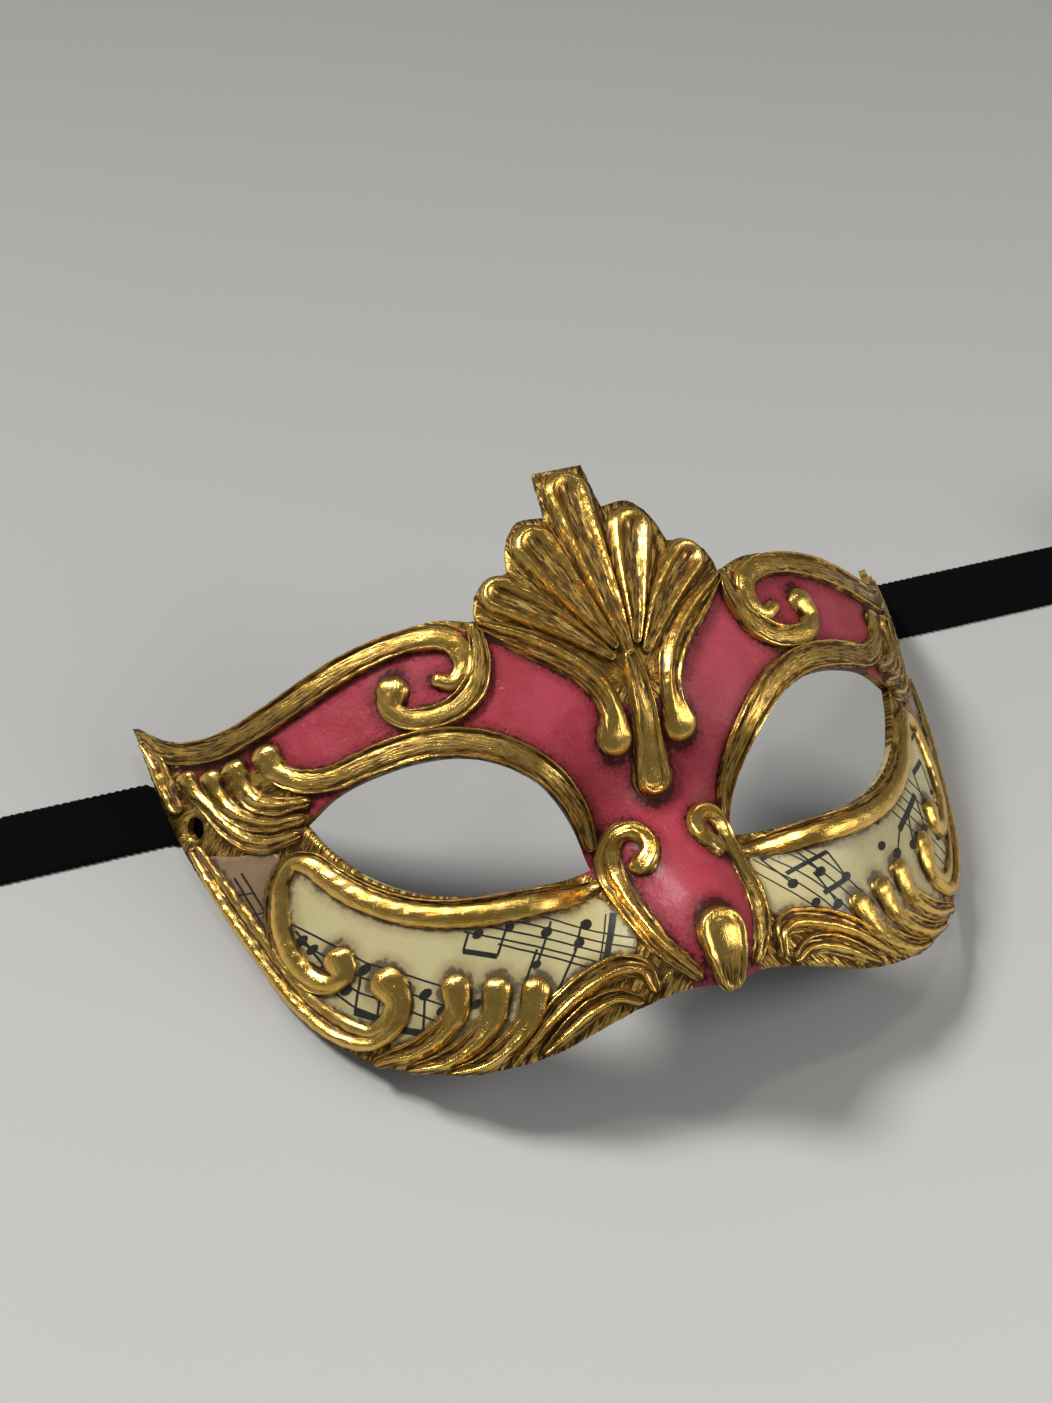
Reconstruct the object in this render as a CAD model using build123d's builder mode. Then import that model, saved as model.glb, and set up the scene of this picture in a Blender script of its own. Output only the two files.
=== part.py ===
"""Venetian half mask: papier-mache shell, gilt modelled relief, paper collage panels and two tie ribbons.

The mask lies face up on a table, resting on its cheek edges, with the crest away from the wearer's chin.
Row frame: +X to the right across the mask, +Y towards the crest, +Z up, origin under the middle at the table.
Shapes are drawn in the mask's own flat plane, x across and u up towards the crest, and laid on its skin.
Points are listed for the right half, and the left half is their mirror image.
"""
from build123d import *
import math
import os

# Driving dimensions, millimetres and degrees
REST_TILT = 22.4             # lean of the mask's flat plane when it lies on its cheek edges
PLANE_Y = 10.335             # where the crest's root stands over the table
PLANE_Z = 52.57
SHELL_THICKNESS = 1.6
PAPER_THICKNESS = 0.15
PAPER_LIFT = 0.3             # cheek relief stands this far over the flat plane's skin, clear of the paper
RELIEF_THICKNESS = 2.0
PIECE_GAP = 0.3              # free line between two neighbouring strokes of relief
FACE_DEPTH = 123.9           # depth scale of the wrap round the face
FACE_REACH = 102.1           # half width at which the wrap would turn vertical
FACE_POWER = 2.36
EYE_SOCKET_DEPTH = 11.8
HOLE_CENTRE = (83.2, -3.3)   # ribbon hole in the temple
HOLE_ACROSS = 1.25           # its half width and half height in the flat plane
HOLE_UP = 2.5
RIBBON_WIDTH = 16.0
RIBBON_THICKNESS = 0.5
RIBBON_LENGTH = 450.0
LEAD_WIDTH = 7.0             # the ribbon gathered together below its knot
LEAD_DEPTH = 1.2
RIBBON_HINGE_X = 89.0        # where the free ribbon starts to lift, just outside the temple
RIBBON_Y = {"left": 35.5, "right": 45.0}
ROLL_CENTRE_X = 168.0        # the end of each ribbon is put away in a small roll
ROLL_CORE_RADIUS = 5.0
ROLL_PITCH = 1.0             # one turn of soft ribbon
PUNCH_LENGTH = 200.0

SIDES = {"left": -1, "right": 1}
mask_plane = Plane(
    origin=(0, PLANE_Y, PLANE_Z),
    x_dir=(1, 0, 0),
    z_dir=(0, -math.sin(math.radians(REST_TILT)), math.cos(math.radians(REST_TILT))),
)
os.makedirs("parts", exist_ok=True)


# ---- skin of the face -------------------------------------------------------
def hill(value, centre, spread):
    """Smooth hill of height one."""
    return math.exp(-(((value - centre) / spread) ** 2))


def face_height(x, u):
    """Height of the painted skin over the mask's flat plane."""
    wrap = -FACE_DEPTH * (1 - math.sqrt(1 - (abs(x) / FACE_REACH) ** FACE_POWER))
    chin_roll = -3.5 * ((u + 20) / 50) ** 2
    bridge = 2.6 * hill(u, 0, 18) - 7.0 * hill(u, -26, 12) + 8.0 * hill(u, -58, 16)
    sockets = hill(abs(x), 18, 9) * hill(u, -36, 14)
    return wrap + chin_roll + bridge * hill(x, 0, 11.1) - EYE_SOCKET_DEPTH * sockets


def skin_point(x, u, offset):
    """Point that stands a distance off the skin, along the skin's normal."""
    step = 0.05
    slope_x = (face_height(x + step, u) - face_height(x - step, u)) / (2 * step)
    slope_u = (face_height(x, u + step) - face_height(x, u - step)) / (2 * step)
    lift = offset / math.sqrt(1 + slope_x**2 + slope_u**2)
    flat = Vector(x - slope_x * lift, u - slope_u * lift, face_height(x, u) + lift)
    return mask_plane.from_local_coords(flat)


def skin():
    """Smooth surface through the skin's points, a little larger than the mask."""
    spacing = 4.0
    columns = [spacing * i for i in range(-23, 24)]
    rows = [-76.0 + spacing * i for i in range(32)]
    grid = [[skin_point(x, u, 0.0) for u in rows] for x in columns]
    return Face.make_surface_from_array_of_points(grid, tol=0.01, min_deg=3, max_deg=5)


painted_skin = skin()
papered_skin = painted_skin.moved(Location(mask_plane.z_dir * PAPER_LIFT))


# ---- drawing ----------------------------------------------------------------
def on_side(points, side):
    return [(SIDES[side] * x, u) for x, u in points]


def width_at(share, knots, widths):
    """Half width at a share of a stroke's length, straight between the widths at its points."""
    for i in range(1, len(knots)):
        if share <= knots[i]:
            part = (share - knots[i - 1]) / (knots[i] - knots[i - 1])
            return widths[i - 1] + (widths[i] - widths[i - 1]) * max(part, 0)
    return widths[-1]


def stroke(route, widths, grow=0.0):
    """Flat outline of one stroke of relief: a smooth line with round ends and a changing half width."""
    line = Spline(*[Vector(x, u) for x, u in route])
    knots = [line.param_at_point(Vector(x, u)) for x, u in route]
    stations = 3 * (len(route) - 1)
    upper, lower = [], []
    for i in range(stations + 1):
        place = line @ (i / stations)
        ahead = line % (i / stations)
        across = Vector(-ahead.Y, ahead.X) * (width_at(i / stations, knots, widths) + grow)
        upper.append(place + across)
        lower.append(place - across)
    with BuildSketch(mask_plane) as outline:
        with BuildLine():
            Spline(*upper)
            Line(upper[-1], lower[-1])
            Spline(*lower)
            Line(lower[0], upper[0])
        make_face()
        for end, width in ((route[0], widths[0]), (route[-1], widths[-1])):
            with Locations(end):
                Circle(width + grow)
    return outline.sketch


def shell_outline():
    """Whole flat outline of the mask."""
    chin = [(0, -67.2), (6.2, -65.6)]
    cheek = [(10.8, -65.4), (17.5, -66.3), (26, -68.2), (34, -70), (42, -70.3), (51, -69), (57.5, -66.2),
             (64, -62.6), (69.2, -57.3), (75, -48), (79.6, -34), (83.2, -20), (85.7, -7), (87.3, 8), (88, 22.7)]
    brow = [(88, 22.7), (84.5, 16.6), (79, 13.3), (70, 13), (61, 15), (51, 18), (41, 19.3), (33, 18.7),
            (27, 16.4)]
    lobe_edges = [
        [(27, 16.4), (26.2, 20.4), (22.9, 24.2), (17.8, 24.8)],
        [(17.8, 24.8), (16.2, 30.6), (12.4, 35), (6.2, 34.8)],
        [(6.2, 34.8), (5.4, 44.8)],
    ]
    with BuildSketch(mask_plane) as outline:
        with BuildLine():
            for side in SIDES:
                Spline(*on_side(chin + cheek[:1], side))
                Spline(*on_side(cheek, side))
                Spline(*on_side(brow, side))
                for edge in lobe_edges:
                    Spline(*on_side(edge, side)) if len(edge) > 2 else Line(*on_side(edge, side))
            top = lobe_edges[-1][-1]
            Line(*[on_side([top], side)[0] for side in SIDES])
        make_face()
    return outline.sketch


def eye_outline(side):
    upper = [(15.8, -36.4), (17.6, -28), (22.6, -20), (29, -13.7), (36, -9.8), (43, -8), (52, -7.6),
             (60.4, -8.8), (66.6, -12)]
    lower = [(66.6, -12), (63.9, -18.6), (58.6, -26.6), (51, -32.8), (41, -36.6), (29, -37.8), (15.8, -36.4)]
    with BuildSketch(mask_plane) as outline:
        with BuildLine():
            Spline(*on_side(upper, side))
            Spline(*on_side(lower, side))
        make_face()
    return outline.sketch


def hole_outline(side):
    with BuildSketch(mask_plane) as outline:
        with Locations(on_side([HOLE_CENTRE], side)[0]):
            Ellipse(HOLE_ACROSS, HOLE_UP)
    return outline.sketch


# ---- laying a drawing on the skin ---------------------------------------------
def laid(outline, surface):
    """Patches of a surface that lie inside a flat outline."""
    punch = extrude(outline, amount=PUNCH_LENGTH, both=True)
    return (surface & punch).faces()


def finish(piece, name):
    piece.part.label = name
    export_step(piece.part, f"parts/{name}.step")
    print(name, round(piece.part.volume, 1))


# ---- shell --------------------------------------------------------------------
face_outline = shell_outline()
eyes = {side: eye_outline(side) for side in SIDES}
ribbon_holes = {side: hole_outline(side) for side in SIDES}
shell_drawing = face_outline
for side in SIDES:
    shell_drawing = shell_drawing - eyes[side] - ribbon_holes[side]

shell_patches = laid(shell_drawing, painted_skin)
with BuildPart() as mask_shell:
    for patch in shell_patches:
        thicken(patch, amount=-SHELL_THICKNESS)
finish(mask_shell, "mask_shell")


# ---- relief strokes: route and half widths, right half -------------------------
# Drawn in the order in which they keep their full width: a later stroke gives way to its neighbours.
BROW = {
    "brow_band": (
        [(85.2, 15.6), (80.5, 11.9), (75.7, 10.7), (71, 11.2), (65.2, 12.6), (59.3, 14.4), (53.1, 16.1),
         (47.3, 17), (41, 17.1), (36.4, 16.6), (32.6, 14.4), (31.2, 11), (31.9, 7.2), (34.4, 4.9), (37, 5.4)],
        [1.3, 1.7, 2.1, 2.1, 2.1, 2.1, 2.1, 2.0, 2.0, 1.9, 1.8, 1.7, 1.6, 1.5, 1.7]),
    "brow_scroll": (
        [(45.9, 8.2), (47.1, 4.4), (44.7, 0.9), (40.5, -0.3), (35.3, 0.1), (30.8, 3), (28.3, 7.3), (27.6, 12),
         (27.8, 15.2)],
        [2.5, 1.7, 1.7, 2.0, 2.1, 2.1, 1.9, 1.6, 1.0]),
    "upper_eye_rim": (
        [(69.1, 4.1), (68.2, 0.2), (64.6, -3.9), (59.6, -5.6), (54.6, -5.1), (49, -4.8), (43.3, -5.1),
         (37.6, -6.5), (31.6, -9.4), (25.9, -13.7), (20.4, -19.6), (16.4, -26), (14.8, -31.6)],
        [1.9, 1.4, 1.8, 2.2, 2.4, 2.6, 2.6, 2.6, 2.5, 2.4, 2.2, 1.9, 1.2]),
}
TEMPLE = {
    "temple_comma_upper": (
        [(74.8, 4.6), (74.4, 0.4), (73, -4), (69.8, -6.7), (66.2, -7.4)], [1.8, 1.2, 1.3, 1.2, 0.8]),
    "temple_comma_middle": (
        [(78.8, 4.9), (78.5, 1.1), (77.2, -3.5), (74.8, -7), (71.6, -9.2), (68.4, -9.9)],
        [1.5, 1.0, 1.1, 1.2, 1.1, 0.8]),
    "temple_comma_lower": (
        [(82.3, 7.6), (81.8, 3.6), (80.2, -1), (78.6, -6.1), (76.3, -10.2), (73.3, -12.4), (69.6, -12.7)],
        [1.3, 0.8, 0.9, 1.1, 1.2, 1.2, 0.8]),
    "temple_trim": ([(86.5, 18.2), (85.8, 13), (85.5, 7.6), (85, 2.6)], [0.6, 0.9, 1.0, 0.9]),
}
CREST = {
    "crest_lobe_center": ([(0, 40.6), (0, 33), (0, 21), (0, 11), (0, 2.5)], [3.6, 3.2, 2.3, 1.4, 0.8]),
    "crest_lobe_upper": (
        [(11.4, 30.7), (9, 25), (6.1, 17), (3.7, 9.5), (2.4, 4.8)], [3.3, 2.8, 1.9, 1.1, 0.6]),
    "crest_lobe_lower": (
        [(21, 20.4), (16, 15.9), (10.5, 10.4), (6.2, 5.4), (3.8, 2.2)], [3.3, 2.6, 1.6, 0.9, 0.6]),
    "crest_stem": (
        [(25.1, 14.2), (21.6, 12.5), (17.3, 9.2), (12.5, 4.6), (9, 0.1), (6.9, -4.5), (6.3, -9), (6.9, -13.6)],
        [0.9, 1.5, 1.9, 1.9, 1.8, 1.8, 1.9, 2.7]),
    "crest_pendant": ([(0, -0.6), (0, -6), (0, -14), (0, -22.8)], [1.2, 1.6, 2.2, 3.4]),
}
NOSE = {
    "nose_drop": ([(0, -56.2), (0, -60.5), (0, -65.4)], [4.2, 4.0, 2.8]),
    "nose_scroll": (
        [(7.3, -40.2), (4.9, -36.8), (4.9, -33.2), (7.3, -31), (10.3, -31.4), (12.2, -33.6), (12.8, -36.8),
         (13, -41.1), (12.8, -46.2), (12.3, -51.3), (10.9, -56), (8.8, -59.9), (6.4, -63.1)],
        [1.9, 1.5, 1.4, 1.4, 1.5, 1.5, 1.4, 1.4, 1.4, 1.4, 1.4, 1.3, 1.1]),
}
CHEEK = {
    "lower_eye_rim": (
        [(17.6, -40.4), (24, -40.6), (33.1, -40.4), (41.3, -39.3), (48.6, -37.2), (54.9, -33.8), (60.4, -28.9),
         (64.4, -23.5), (67.2, -19.3), (70, -17.9), (72.3, -19.8), (74.2, -24.6), (75, -31), (74.2, -37),
         (72, -41.6), (69.2, -43.6), (67.1, -42.6), (67.3, -39.6)],
        [1.5, 2.3, 2.6, 2.6, 2.5, 2.4, 2.3, 2.2, 1.9, 1.6, 1.5, 1.6, 1.7, 1.8, 1.8, 1.8, 1.8, 2.0]),
    "side_border": (
        [(83.9, -8.6), (82.9, -13.5), (81.2, -20.6), (79.4, -27.6), (77.2, -35.4), (73.8, -45.6), (69, -53.8),
         (65, -56.4), (61.4, -54.6), (59.4, -50.6), (60, -46.6)],
        [0.7, 1.1, 1.3, 1.4, 1.5, 1.7, 1.8, 1.9, 1.8, 1.7, 2.3]),
    "cheek_comma_outer": (
        [(49.3, -52.4), (50.1, -56.4), (53.4, -59.6), (58.4, -61.2), (63.6, -60.6)], [2.5, 2.0, 1.9, 1.5, 0.7]),
    "cheek_comma_middle": (
        [(42.5, -55.3), (44.2, -59.6), (48.4, -63), (54, -64.7), (59, -64)], [2.5, 2.0, 1.7, 1.1, 0.5]),
    "cheek_comma_inner": (
        [(35.7, -57.5), (38.2, -62.3), (42.6, -65.9), (47.8, -67.8), (52.4, -67.4)], [2.5, 1.9, 1.6, 1.0, 0.5]),
    "cheek_leaf_upper": (
        [(14.4, -62.4), (15, -58.9), (18.4, -57), (24.9, -58), (31.8, -61), (37.6, -65.2), (42, -68.9)],
        [1.1, 1.4, 1.8, 2.0, 1.8, 1.4, 0.7]),
    "cheek_leaf_lower": (
        [(18, -64.7), (21, -62.9), (26.4, -63.5), (31.6, -66.2), (36.2, -69)], [1.0, 1.2, 1.6, 1.5, 0.8]),
}


def draw(strokes, side, kept):
    """Outlines of a family of strokes on one side, each cut clear of those that are kept before it."""
    drawings = {}
    for name, (route, widths) in strokes.items():
        placed = on_side(route, side)
        outline = stroke(placed, widths) & face_outline
        for taken in kept:
            outline = outline - taken
        drawings[name] = outline
        kept.append(stroke(placed, widths, grow=PIECE_GAP))
    return drawings


def raise_relief(outline, surface, name):
    """One stroke of relief, standing on the skin or on the paper."""
    patches = laid(outline, surface)
    with BuildPart() as piece:
        for patch in patches:
            thicken(patch, amount=RELIEF_THICKNESS)
    finish(piece, name)


middle_strokes = {
    "crest_lobe_center": CREST.pop("crest_lobe_center"),
    "crest_pendant": CREST.pop("crest_pendant"),
    "nose_drop": NOSE.pop("nose_drop"),
}
in_the_middle = []
for name, outline in draw(middle_strokes, "right", in_the_middle).items():
    raise_relief(outline, painted_skin, name)

for side in SIDES:
    kept = in_the_middle + [eyes[side]]
    kept.append(stroke([on_side([HOLE_CENTRE], side)[0], on_side([(83.3, -3.9)], side)[0]], [1.7, 1.7]))
    for family, surface in ((BROW, painted_skin), (NOSE, painted_skin), (CREST, painted_skin),
                            (TEMPLE, painted_skin), (CHEEK, papered_skin)):
        for name, outline in draw(family, side, kept).items():
            raise_relief(outline, surface, f"{name}_{side}")


# ---- paper collage --------------------------------------------------------------
MUSIC_PANEL = [(18.4, -41.6), (30, -41.6), (42, -40.2), (52, -36.6), (60, -30), (66, -21.4), (70, -18.4),
               (74, -24), (75.2, -33), (72.8, -42.4), (68, -51), (62, -57.6), (52, -62), (40, -61.6),
               (28, -58.4), (18.6, -57.4), (14.9, -53.6), (15.2, -46)]
TEMPLE_PATCH = [(81.6, -12.4), (77.6, -13.9), (73.6, -16.4), (75.9, -22), (77, -29), (78, -32.6), (80.4, -24),
                (81.9, -17)]


def paper(points, side, kept):
    with BuildSketch(mask_plane) as outline:
        with BuildLine():
            Spline(*on_side(points, side), periodic=True)
        make_face()
    sheet = outline.sketch & face_outline
    for taken in kept:
        sheet = sheet - taken
    return sheet


for side in SIDES:
    margin = []
    draw({"nose_scroll": NOSE["nose_scroll"]}, side, margin)
    for name, points in (("music_paper", MUSIC_PANEL), ("temple_paper", TEMPLE_PATCH)):
        patches = laid(paper(points, side, margin), painted_skin)
        with BuildPart() as collage:
            for patch in patches:
                thicken(patch, amount=PAPER_THICKNESS)
        finish(collage, f"{name}_{side}")


# ---- tie ribbons ----------------------------------------------------------------
def ribbon_knot(side):
    """Knot that stops the ribbon behind the temple hole."""
    x, u = on_side([HOLE_CENTRE], side)[0]
    seat = skin_point(x, u, -SHELL_THICKNESS - 0.2)
    outward = skin_point(x, u, 1.0) - skin_point(x, u, 0.0)
    knot_plane = Plane(origin=seat, z_dir=-outward)
    with BuildPart() as knot:
        with BuildSketch(knot_plane):
            Circle(2.9)
        extrude(amount=3.2)
        fillet(knot.edges(), radius=1.1)
    finish(knot, f"ribbon_knot_{side}")
    return knot.part.bounding_box()


def ribbon_lead(side, knot_box):
    """Short gathered stretch that runs from below the knot out under the temple's edge."""
    sign = SIDES[side]
    outer_x = sign * (RIBBON_HINGE_X - 0.5)
    inner_x = sign * 78.0
    inner_z = knot_box.min.Z - LEAD_DEPTH / 2
    inner = Plane(origin=(inner_x, knot_box.center().Y, inner_z), x_dir=(0, 1, 0), z_dir=(sign, 0, 0))
    outer = Plane(origin=(outer_x, RIBBON_Y[side], RIBBON_THICKNESS / 2), x_dir=(0, 1, 0), z_dir=(sign, 0, 0))
    with BuildPart() as lead:
        with BuildSketch(inner):
            Rectangle(LEAD_WIDTH, LEAD_DEPTH)
        with BuildSketch(outer):
            Rectangle(RIBBON_WIDTH, RIBBON_THICKNESS)
        loft()
    finish(lead, f"ribbon_lead_{side}")


def rolled_radius(length):
    """Outer radius of a roll that holds a length of ribbon."""
    return math.sqrt(ROLL_CORE_RADIUS**2 + length * ROLL_PITCH / math.pi)


def ribbon_strip_and_roll(side):
    sign = SIDES[side]
    start_x = RIBBON_HINGE_X + 0.7
    strip_length = ROLL_CENTRE_X - start_x
    roll_radius = rolled_radius(RIBBON_LENGTH - strip_length)
    y = RIBBON_Y[side]
    with BuildPart() as strip:
        with BuildSketch(Plane.XY):
            with Locations((sign * (start_x + strip_length / 2), y)):
                Rectangle(strip_length, RIBBON_WIDTH)
        extrude(amount=RIBBON_THICKNESS)
    finish(strip, f"ribbon_strip_{side}")
    roll_plane = Plane(
        origin=(sign * ROLL_CENTRE_X, y - RIBBON_WIDTH / 2, RIBBON_THICKNESS + roll_radius),
        x_dir=(1, 0, 0), z_dir=(0, 1, 0))
    with BuildPart() as roll:
        with BuildSketch(roll_plane):
            Circle(roll_radius)
            Circle(ROLL_CORE_RADIUS, mode=Mode.SUBTRACT)
        extrude(amount=RIBBON_WIDTH)
    finish(roll, f"ribbon_roll_{side}")
    print("roll radius", round(roll_radius, 2))


for side in SIDES:
    ribbon_lead(side, ribbon_knot(side))
    ribbon_strip_and_roll(side)
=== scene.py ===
"""Venetian half mask in gilt relief, pink enamel and music paper, with its two tie ribbons."""
import math

import bmesh
import bpy
import numpy as np
from mathutils import Matrix, Vector, geometry


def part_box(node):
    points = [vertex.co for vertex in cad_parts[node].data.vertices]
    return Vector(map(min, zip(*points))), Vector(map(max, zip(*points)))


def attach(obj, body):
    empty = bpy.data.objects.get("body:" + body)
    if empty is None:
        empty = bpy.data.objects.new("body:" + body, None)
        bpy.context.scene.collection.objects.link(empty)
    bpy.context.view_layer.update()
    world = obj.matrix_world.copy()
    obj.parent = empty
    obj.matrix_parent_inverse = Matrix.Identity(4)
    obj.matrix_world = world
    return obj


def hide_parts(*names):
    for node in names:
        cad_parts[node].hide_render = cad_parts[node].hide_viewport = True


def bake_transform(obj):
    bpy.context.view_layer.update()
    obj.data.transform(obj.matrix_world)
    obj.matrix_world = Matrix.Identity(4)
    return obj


bl_info = {
    "name": "Venetian Half Mask",
    "version": (1, 0, 0),
    "blender": (4, 5, 0),
    "location": "3D View > Sidebar > Mask",
    "description": "Builds a gilt and enamelled half mask with collage cheeks and tie ribbons",
    "category": "Object",
}

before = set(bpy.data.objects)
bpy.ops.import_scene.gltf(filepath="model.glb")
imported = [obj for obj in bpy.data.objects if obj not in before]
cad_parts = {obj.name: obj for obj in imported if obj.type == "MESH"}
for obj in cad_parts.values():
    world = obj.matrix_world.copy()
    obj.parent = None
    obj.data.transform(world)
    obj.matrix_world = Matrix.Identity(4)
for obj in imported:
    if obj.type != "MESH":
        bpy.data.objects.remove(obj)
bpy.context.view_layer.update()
MM = 0.001

# The mask's flat plane, as the shell is drawn: x across, u up to the crest, w out of the face (millimetres)
REST_TILT = math.radians(22.4)
PLANE_Y = 10.335
PLANE_Z = 52.57
SHELL_THICKNESS = 1.6
FACE_DEPTH = 123.9          # depth scale of the wrap round the face
FACE_REACH = 102.1          # half width at which the wrap would turn vertical
FACE_POWER = 2.36
EYE_SOCKET_DEPTH = 11.8


# ---- skin of the face -------------------------------------------------------
def hill(value, centre, spread):
    return np.exp(-(((value - centre) / spread) ** 2))


def face_height(x, u):
    """Height of the painted skin over the mask's flat plane."""
    wrap = -FACE_DEPTH * (1 - np.sqrt(np.maximum(1 - (np.abs(x) / FACE_REACH) ** FACE_POWER, 1e-4)))
    chin_roll = -3.5 * ((u + 20) / 50) ** 2
    bridge = 2.6 * hill(u, 0, 18) - 7.0 * hill(u, -26, 12) + 8.0 * hill(u, -58, 16)
    sockets = hill(np.abs(x), 18, 9) * hill(u, -36, 14)
    return wrap + chin_roll + bridge * hill(x, 0, 11.1) - EYE_SOCKET_DEPTH * sockets


def on_skin(plan, offset):
    """Points in the row frame, metres, that stand offset millimetres off the skin over plan points."""
    plan = np.asarray(plan, float)
    x, u = plan[:, 0], plan[:, 1]
    step = 0.05
    slope_x = (face_height(x + step, u) - face_height(x - step, u)) / (2 * step)
    slope_u = (face_height(x, u + step) - face_height(x, u - step)) / (2 * step)
    lift = np.asarray(offset, float) / np.sqrt(1 + slope_x**2 + slope_u**2)
    flat_x, flat_u = x - slope_x * lift, u - slope_u * lift
    w = face_height(x, u) + lift
    cos, sin = math.cos(REST_TILT), math.sin(REST_TILT)
    return np.stack([flat_x, flat_u * cos - w * sin + PLANE_Y, flat_u * sin + w * cos + PLANE_Z], 1) * MM


def grain(points, scale, seed):
    """Cheap smooth hand-made unevenness between -1 and 1, from a few sines."""
    p = np.asarray(points, float) * scale
    total = np.zeros(len(p))
    for k in range(4):
        a = seed * 1.7 + k * 2.1
        total += np.sin(p[:, 0] * math.cos(a) * (1 + k * 0.6) + p[:, 1] * math.sin(a) * (1 + k * 0.6) + a * 3)
    return total / 4


# ---- curves -----------------------------------------------------------------
def smooth_line(points, closed=False, spacing=0.4):
    """Points a set distance apart along a smooth curve through the given ones, and their place on the route."""
    pts = [np.asarray(p, float) for p in points]
    n = len(pts)
    out, share = [], []
    spans = n if closed else n - 1
    for i in range(spans):
        p1, p2 = pts[i], pts[(i + 1) % n]
        p0 = pts[i - 1] if (i or closed) else 2 * p1 - p2
        p3 = pts[(i + 2) % n] if (i + 2 < n or closed) else 2 * p2 - p1
        steps = max(2, int(math.ceil(np.linalg.norm(p2 - p1) / spacing)))
        t1 = max(np.linalg.norm(p1 - p0), 1e-6) ** 0.5
        t2 = t1 + max(np.linalg.norm(p2 - p1), 1e-6) ** 0.5
        t3 = t2 + max(np.linalg.norm(p3 - p2), 1e-6) ** 0.5
        for k in range(steps):
            t = t1 + (t2 - t1) * k / steps
            a1 = (t1 - t) / t1 * p0 + t / t1 * p1
            a2 = (t2 - t) / (t2 - t1) * p1 + (t - t1) / (t2 - t1) * p2
            a3 = (t3 - t) / (t3 - t2) * p2 + (t - t2) / (t3 - t2) * p3
            b1 = (t2 - t) / t2 * a1 + t / t2 * a2
            b2 = (t3 - t) / (t3 - t1) * a2 + (t - t1) / (t3 - t1) * a3
            out.append((t2 - t) / (t2 - t1) * b1 + (t - t1) / (t2 - t1) * b2)
            share.append(i + k / steps)
    if not closed:
        out.append(pts[-1])
        share.append(float(spans))
    return np.array(out), np.array(share)


def inside(points, polygon):
    """Which points lie inside a closed polygon."""
    x, y = points[:, 0], points[:, 1]
    result = np.zeros(len(points), bool)
    j = len(polygon) - 1
    for i in range(len(polygon)):
        xi, yi = polygon[i]
        xj, yj = polygon[j]
        if yi != yj:
            crosses = ((yi > y) != (yj > y)) & (x < (xj - xi) * (y - yi) / (yj - yi) + xi)
            result ^= crosses
        j = i
    return result


# ---- outlines, right half -------------------------------------------------------
CHIN = [(0, -67.2), (6.2, -65.6), (10.8, -65.4)]
CHEEK_EDGE = [(10.8, -65.4), (17.5, -66.3), (26, -68.2), (34, -70), (42, -70.3), (51, -69), (57.5, -66.2),
              (64, -62.6), (69.2, -57.3), (75, -48), (79.6, -34), (83.2, -20), (85.7, -7), (87.3, 8), (88, 22.7)]
BROW_EDGE = [(88, 22.7), (84.5, 16.6), (79, 13.3), (70, 13), (61, 15), (51, 18), (41, 19.3), (33, 18.7),
             (27, 16.4)]
LOBE_EDGES = [
    [(27, 16.4), (26.2, 20.4), (22.9, 24.2), (17.8, 24.8)],
    [(17.8, 24.8), (16.2, 30.6), (12.4, 35), (6.2, 34.8)],
    [(6.2, 34.8), (5.7, 40), (5.4, 44.8)],
]
EYE_UPPER = [(15.8, -36.4), (17.6, -28), (22.6, -20), (29, -13.7), (36, -9.8), (43, -8), (52, -7.6), (60.4, -8.8),
             (66.6, -12)]
EYE_LOWER = [(66.6, -12), (63.9, -18.6), (58.6, -26.6), (51, -32.8), (41, -36.6), (29, -37.8), (15.8, -36.4)]
HOLE_CENTRE = np.array([83.2, -3.3])
HOLE_HALF = np.array([1.25, 2.5])


def flipped(points, sign):
    points = np.array(points, float)
    points[:, 0] *= sign
    return points


def mask_outline():
    half = []
    for run in [CHIN, CHEEK_EDGE, BROW_EDGE] + LOBE_EDGES:
        line, _ = smooth_line(run, spacing=0.7)
        half.extend(line[:-1])
    half.append(np.array(LOBE_EDGES[-1][-1], float))
    right = np.array(half)
    ragged = grain(right, 1.9, 3)[:, None] * 0.12
    right[1:] += ragged[1:]
    left = right[::-1] * [-1, 1]
    return np.concatenate([right, left[:-1]])


def eye_polygon(sign):
    upper, _ = smooth_line(EYE_UPPER, spacing=0.7)
    lower, _ = smooth_line(EYE_LOWER, spacing=0.7)
    return flipped(np.concatenate([upper[:-1], lower[:-1]]), sign)


def hole_polygon(sign):
    angles = np.linspace(0, 2 * math.pi, 24, endpoint=False)
    return flipped(HOLE_CENTRE + np.stack([np.cos(angles), np.sin(angles)], 1) * HOLE_HALF, sign)


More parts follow.
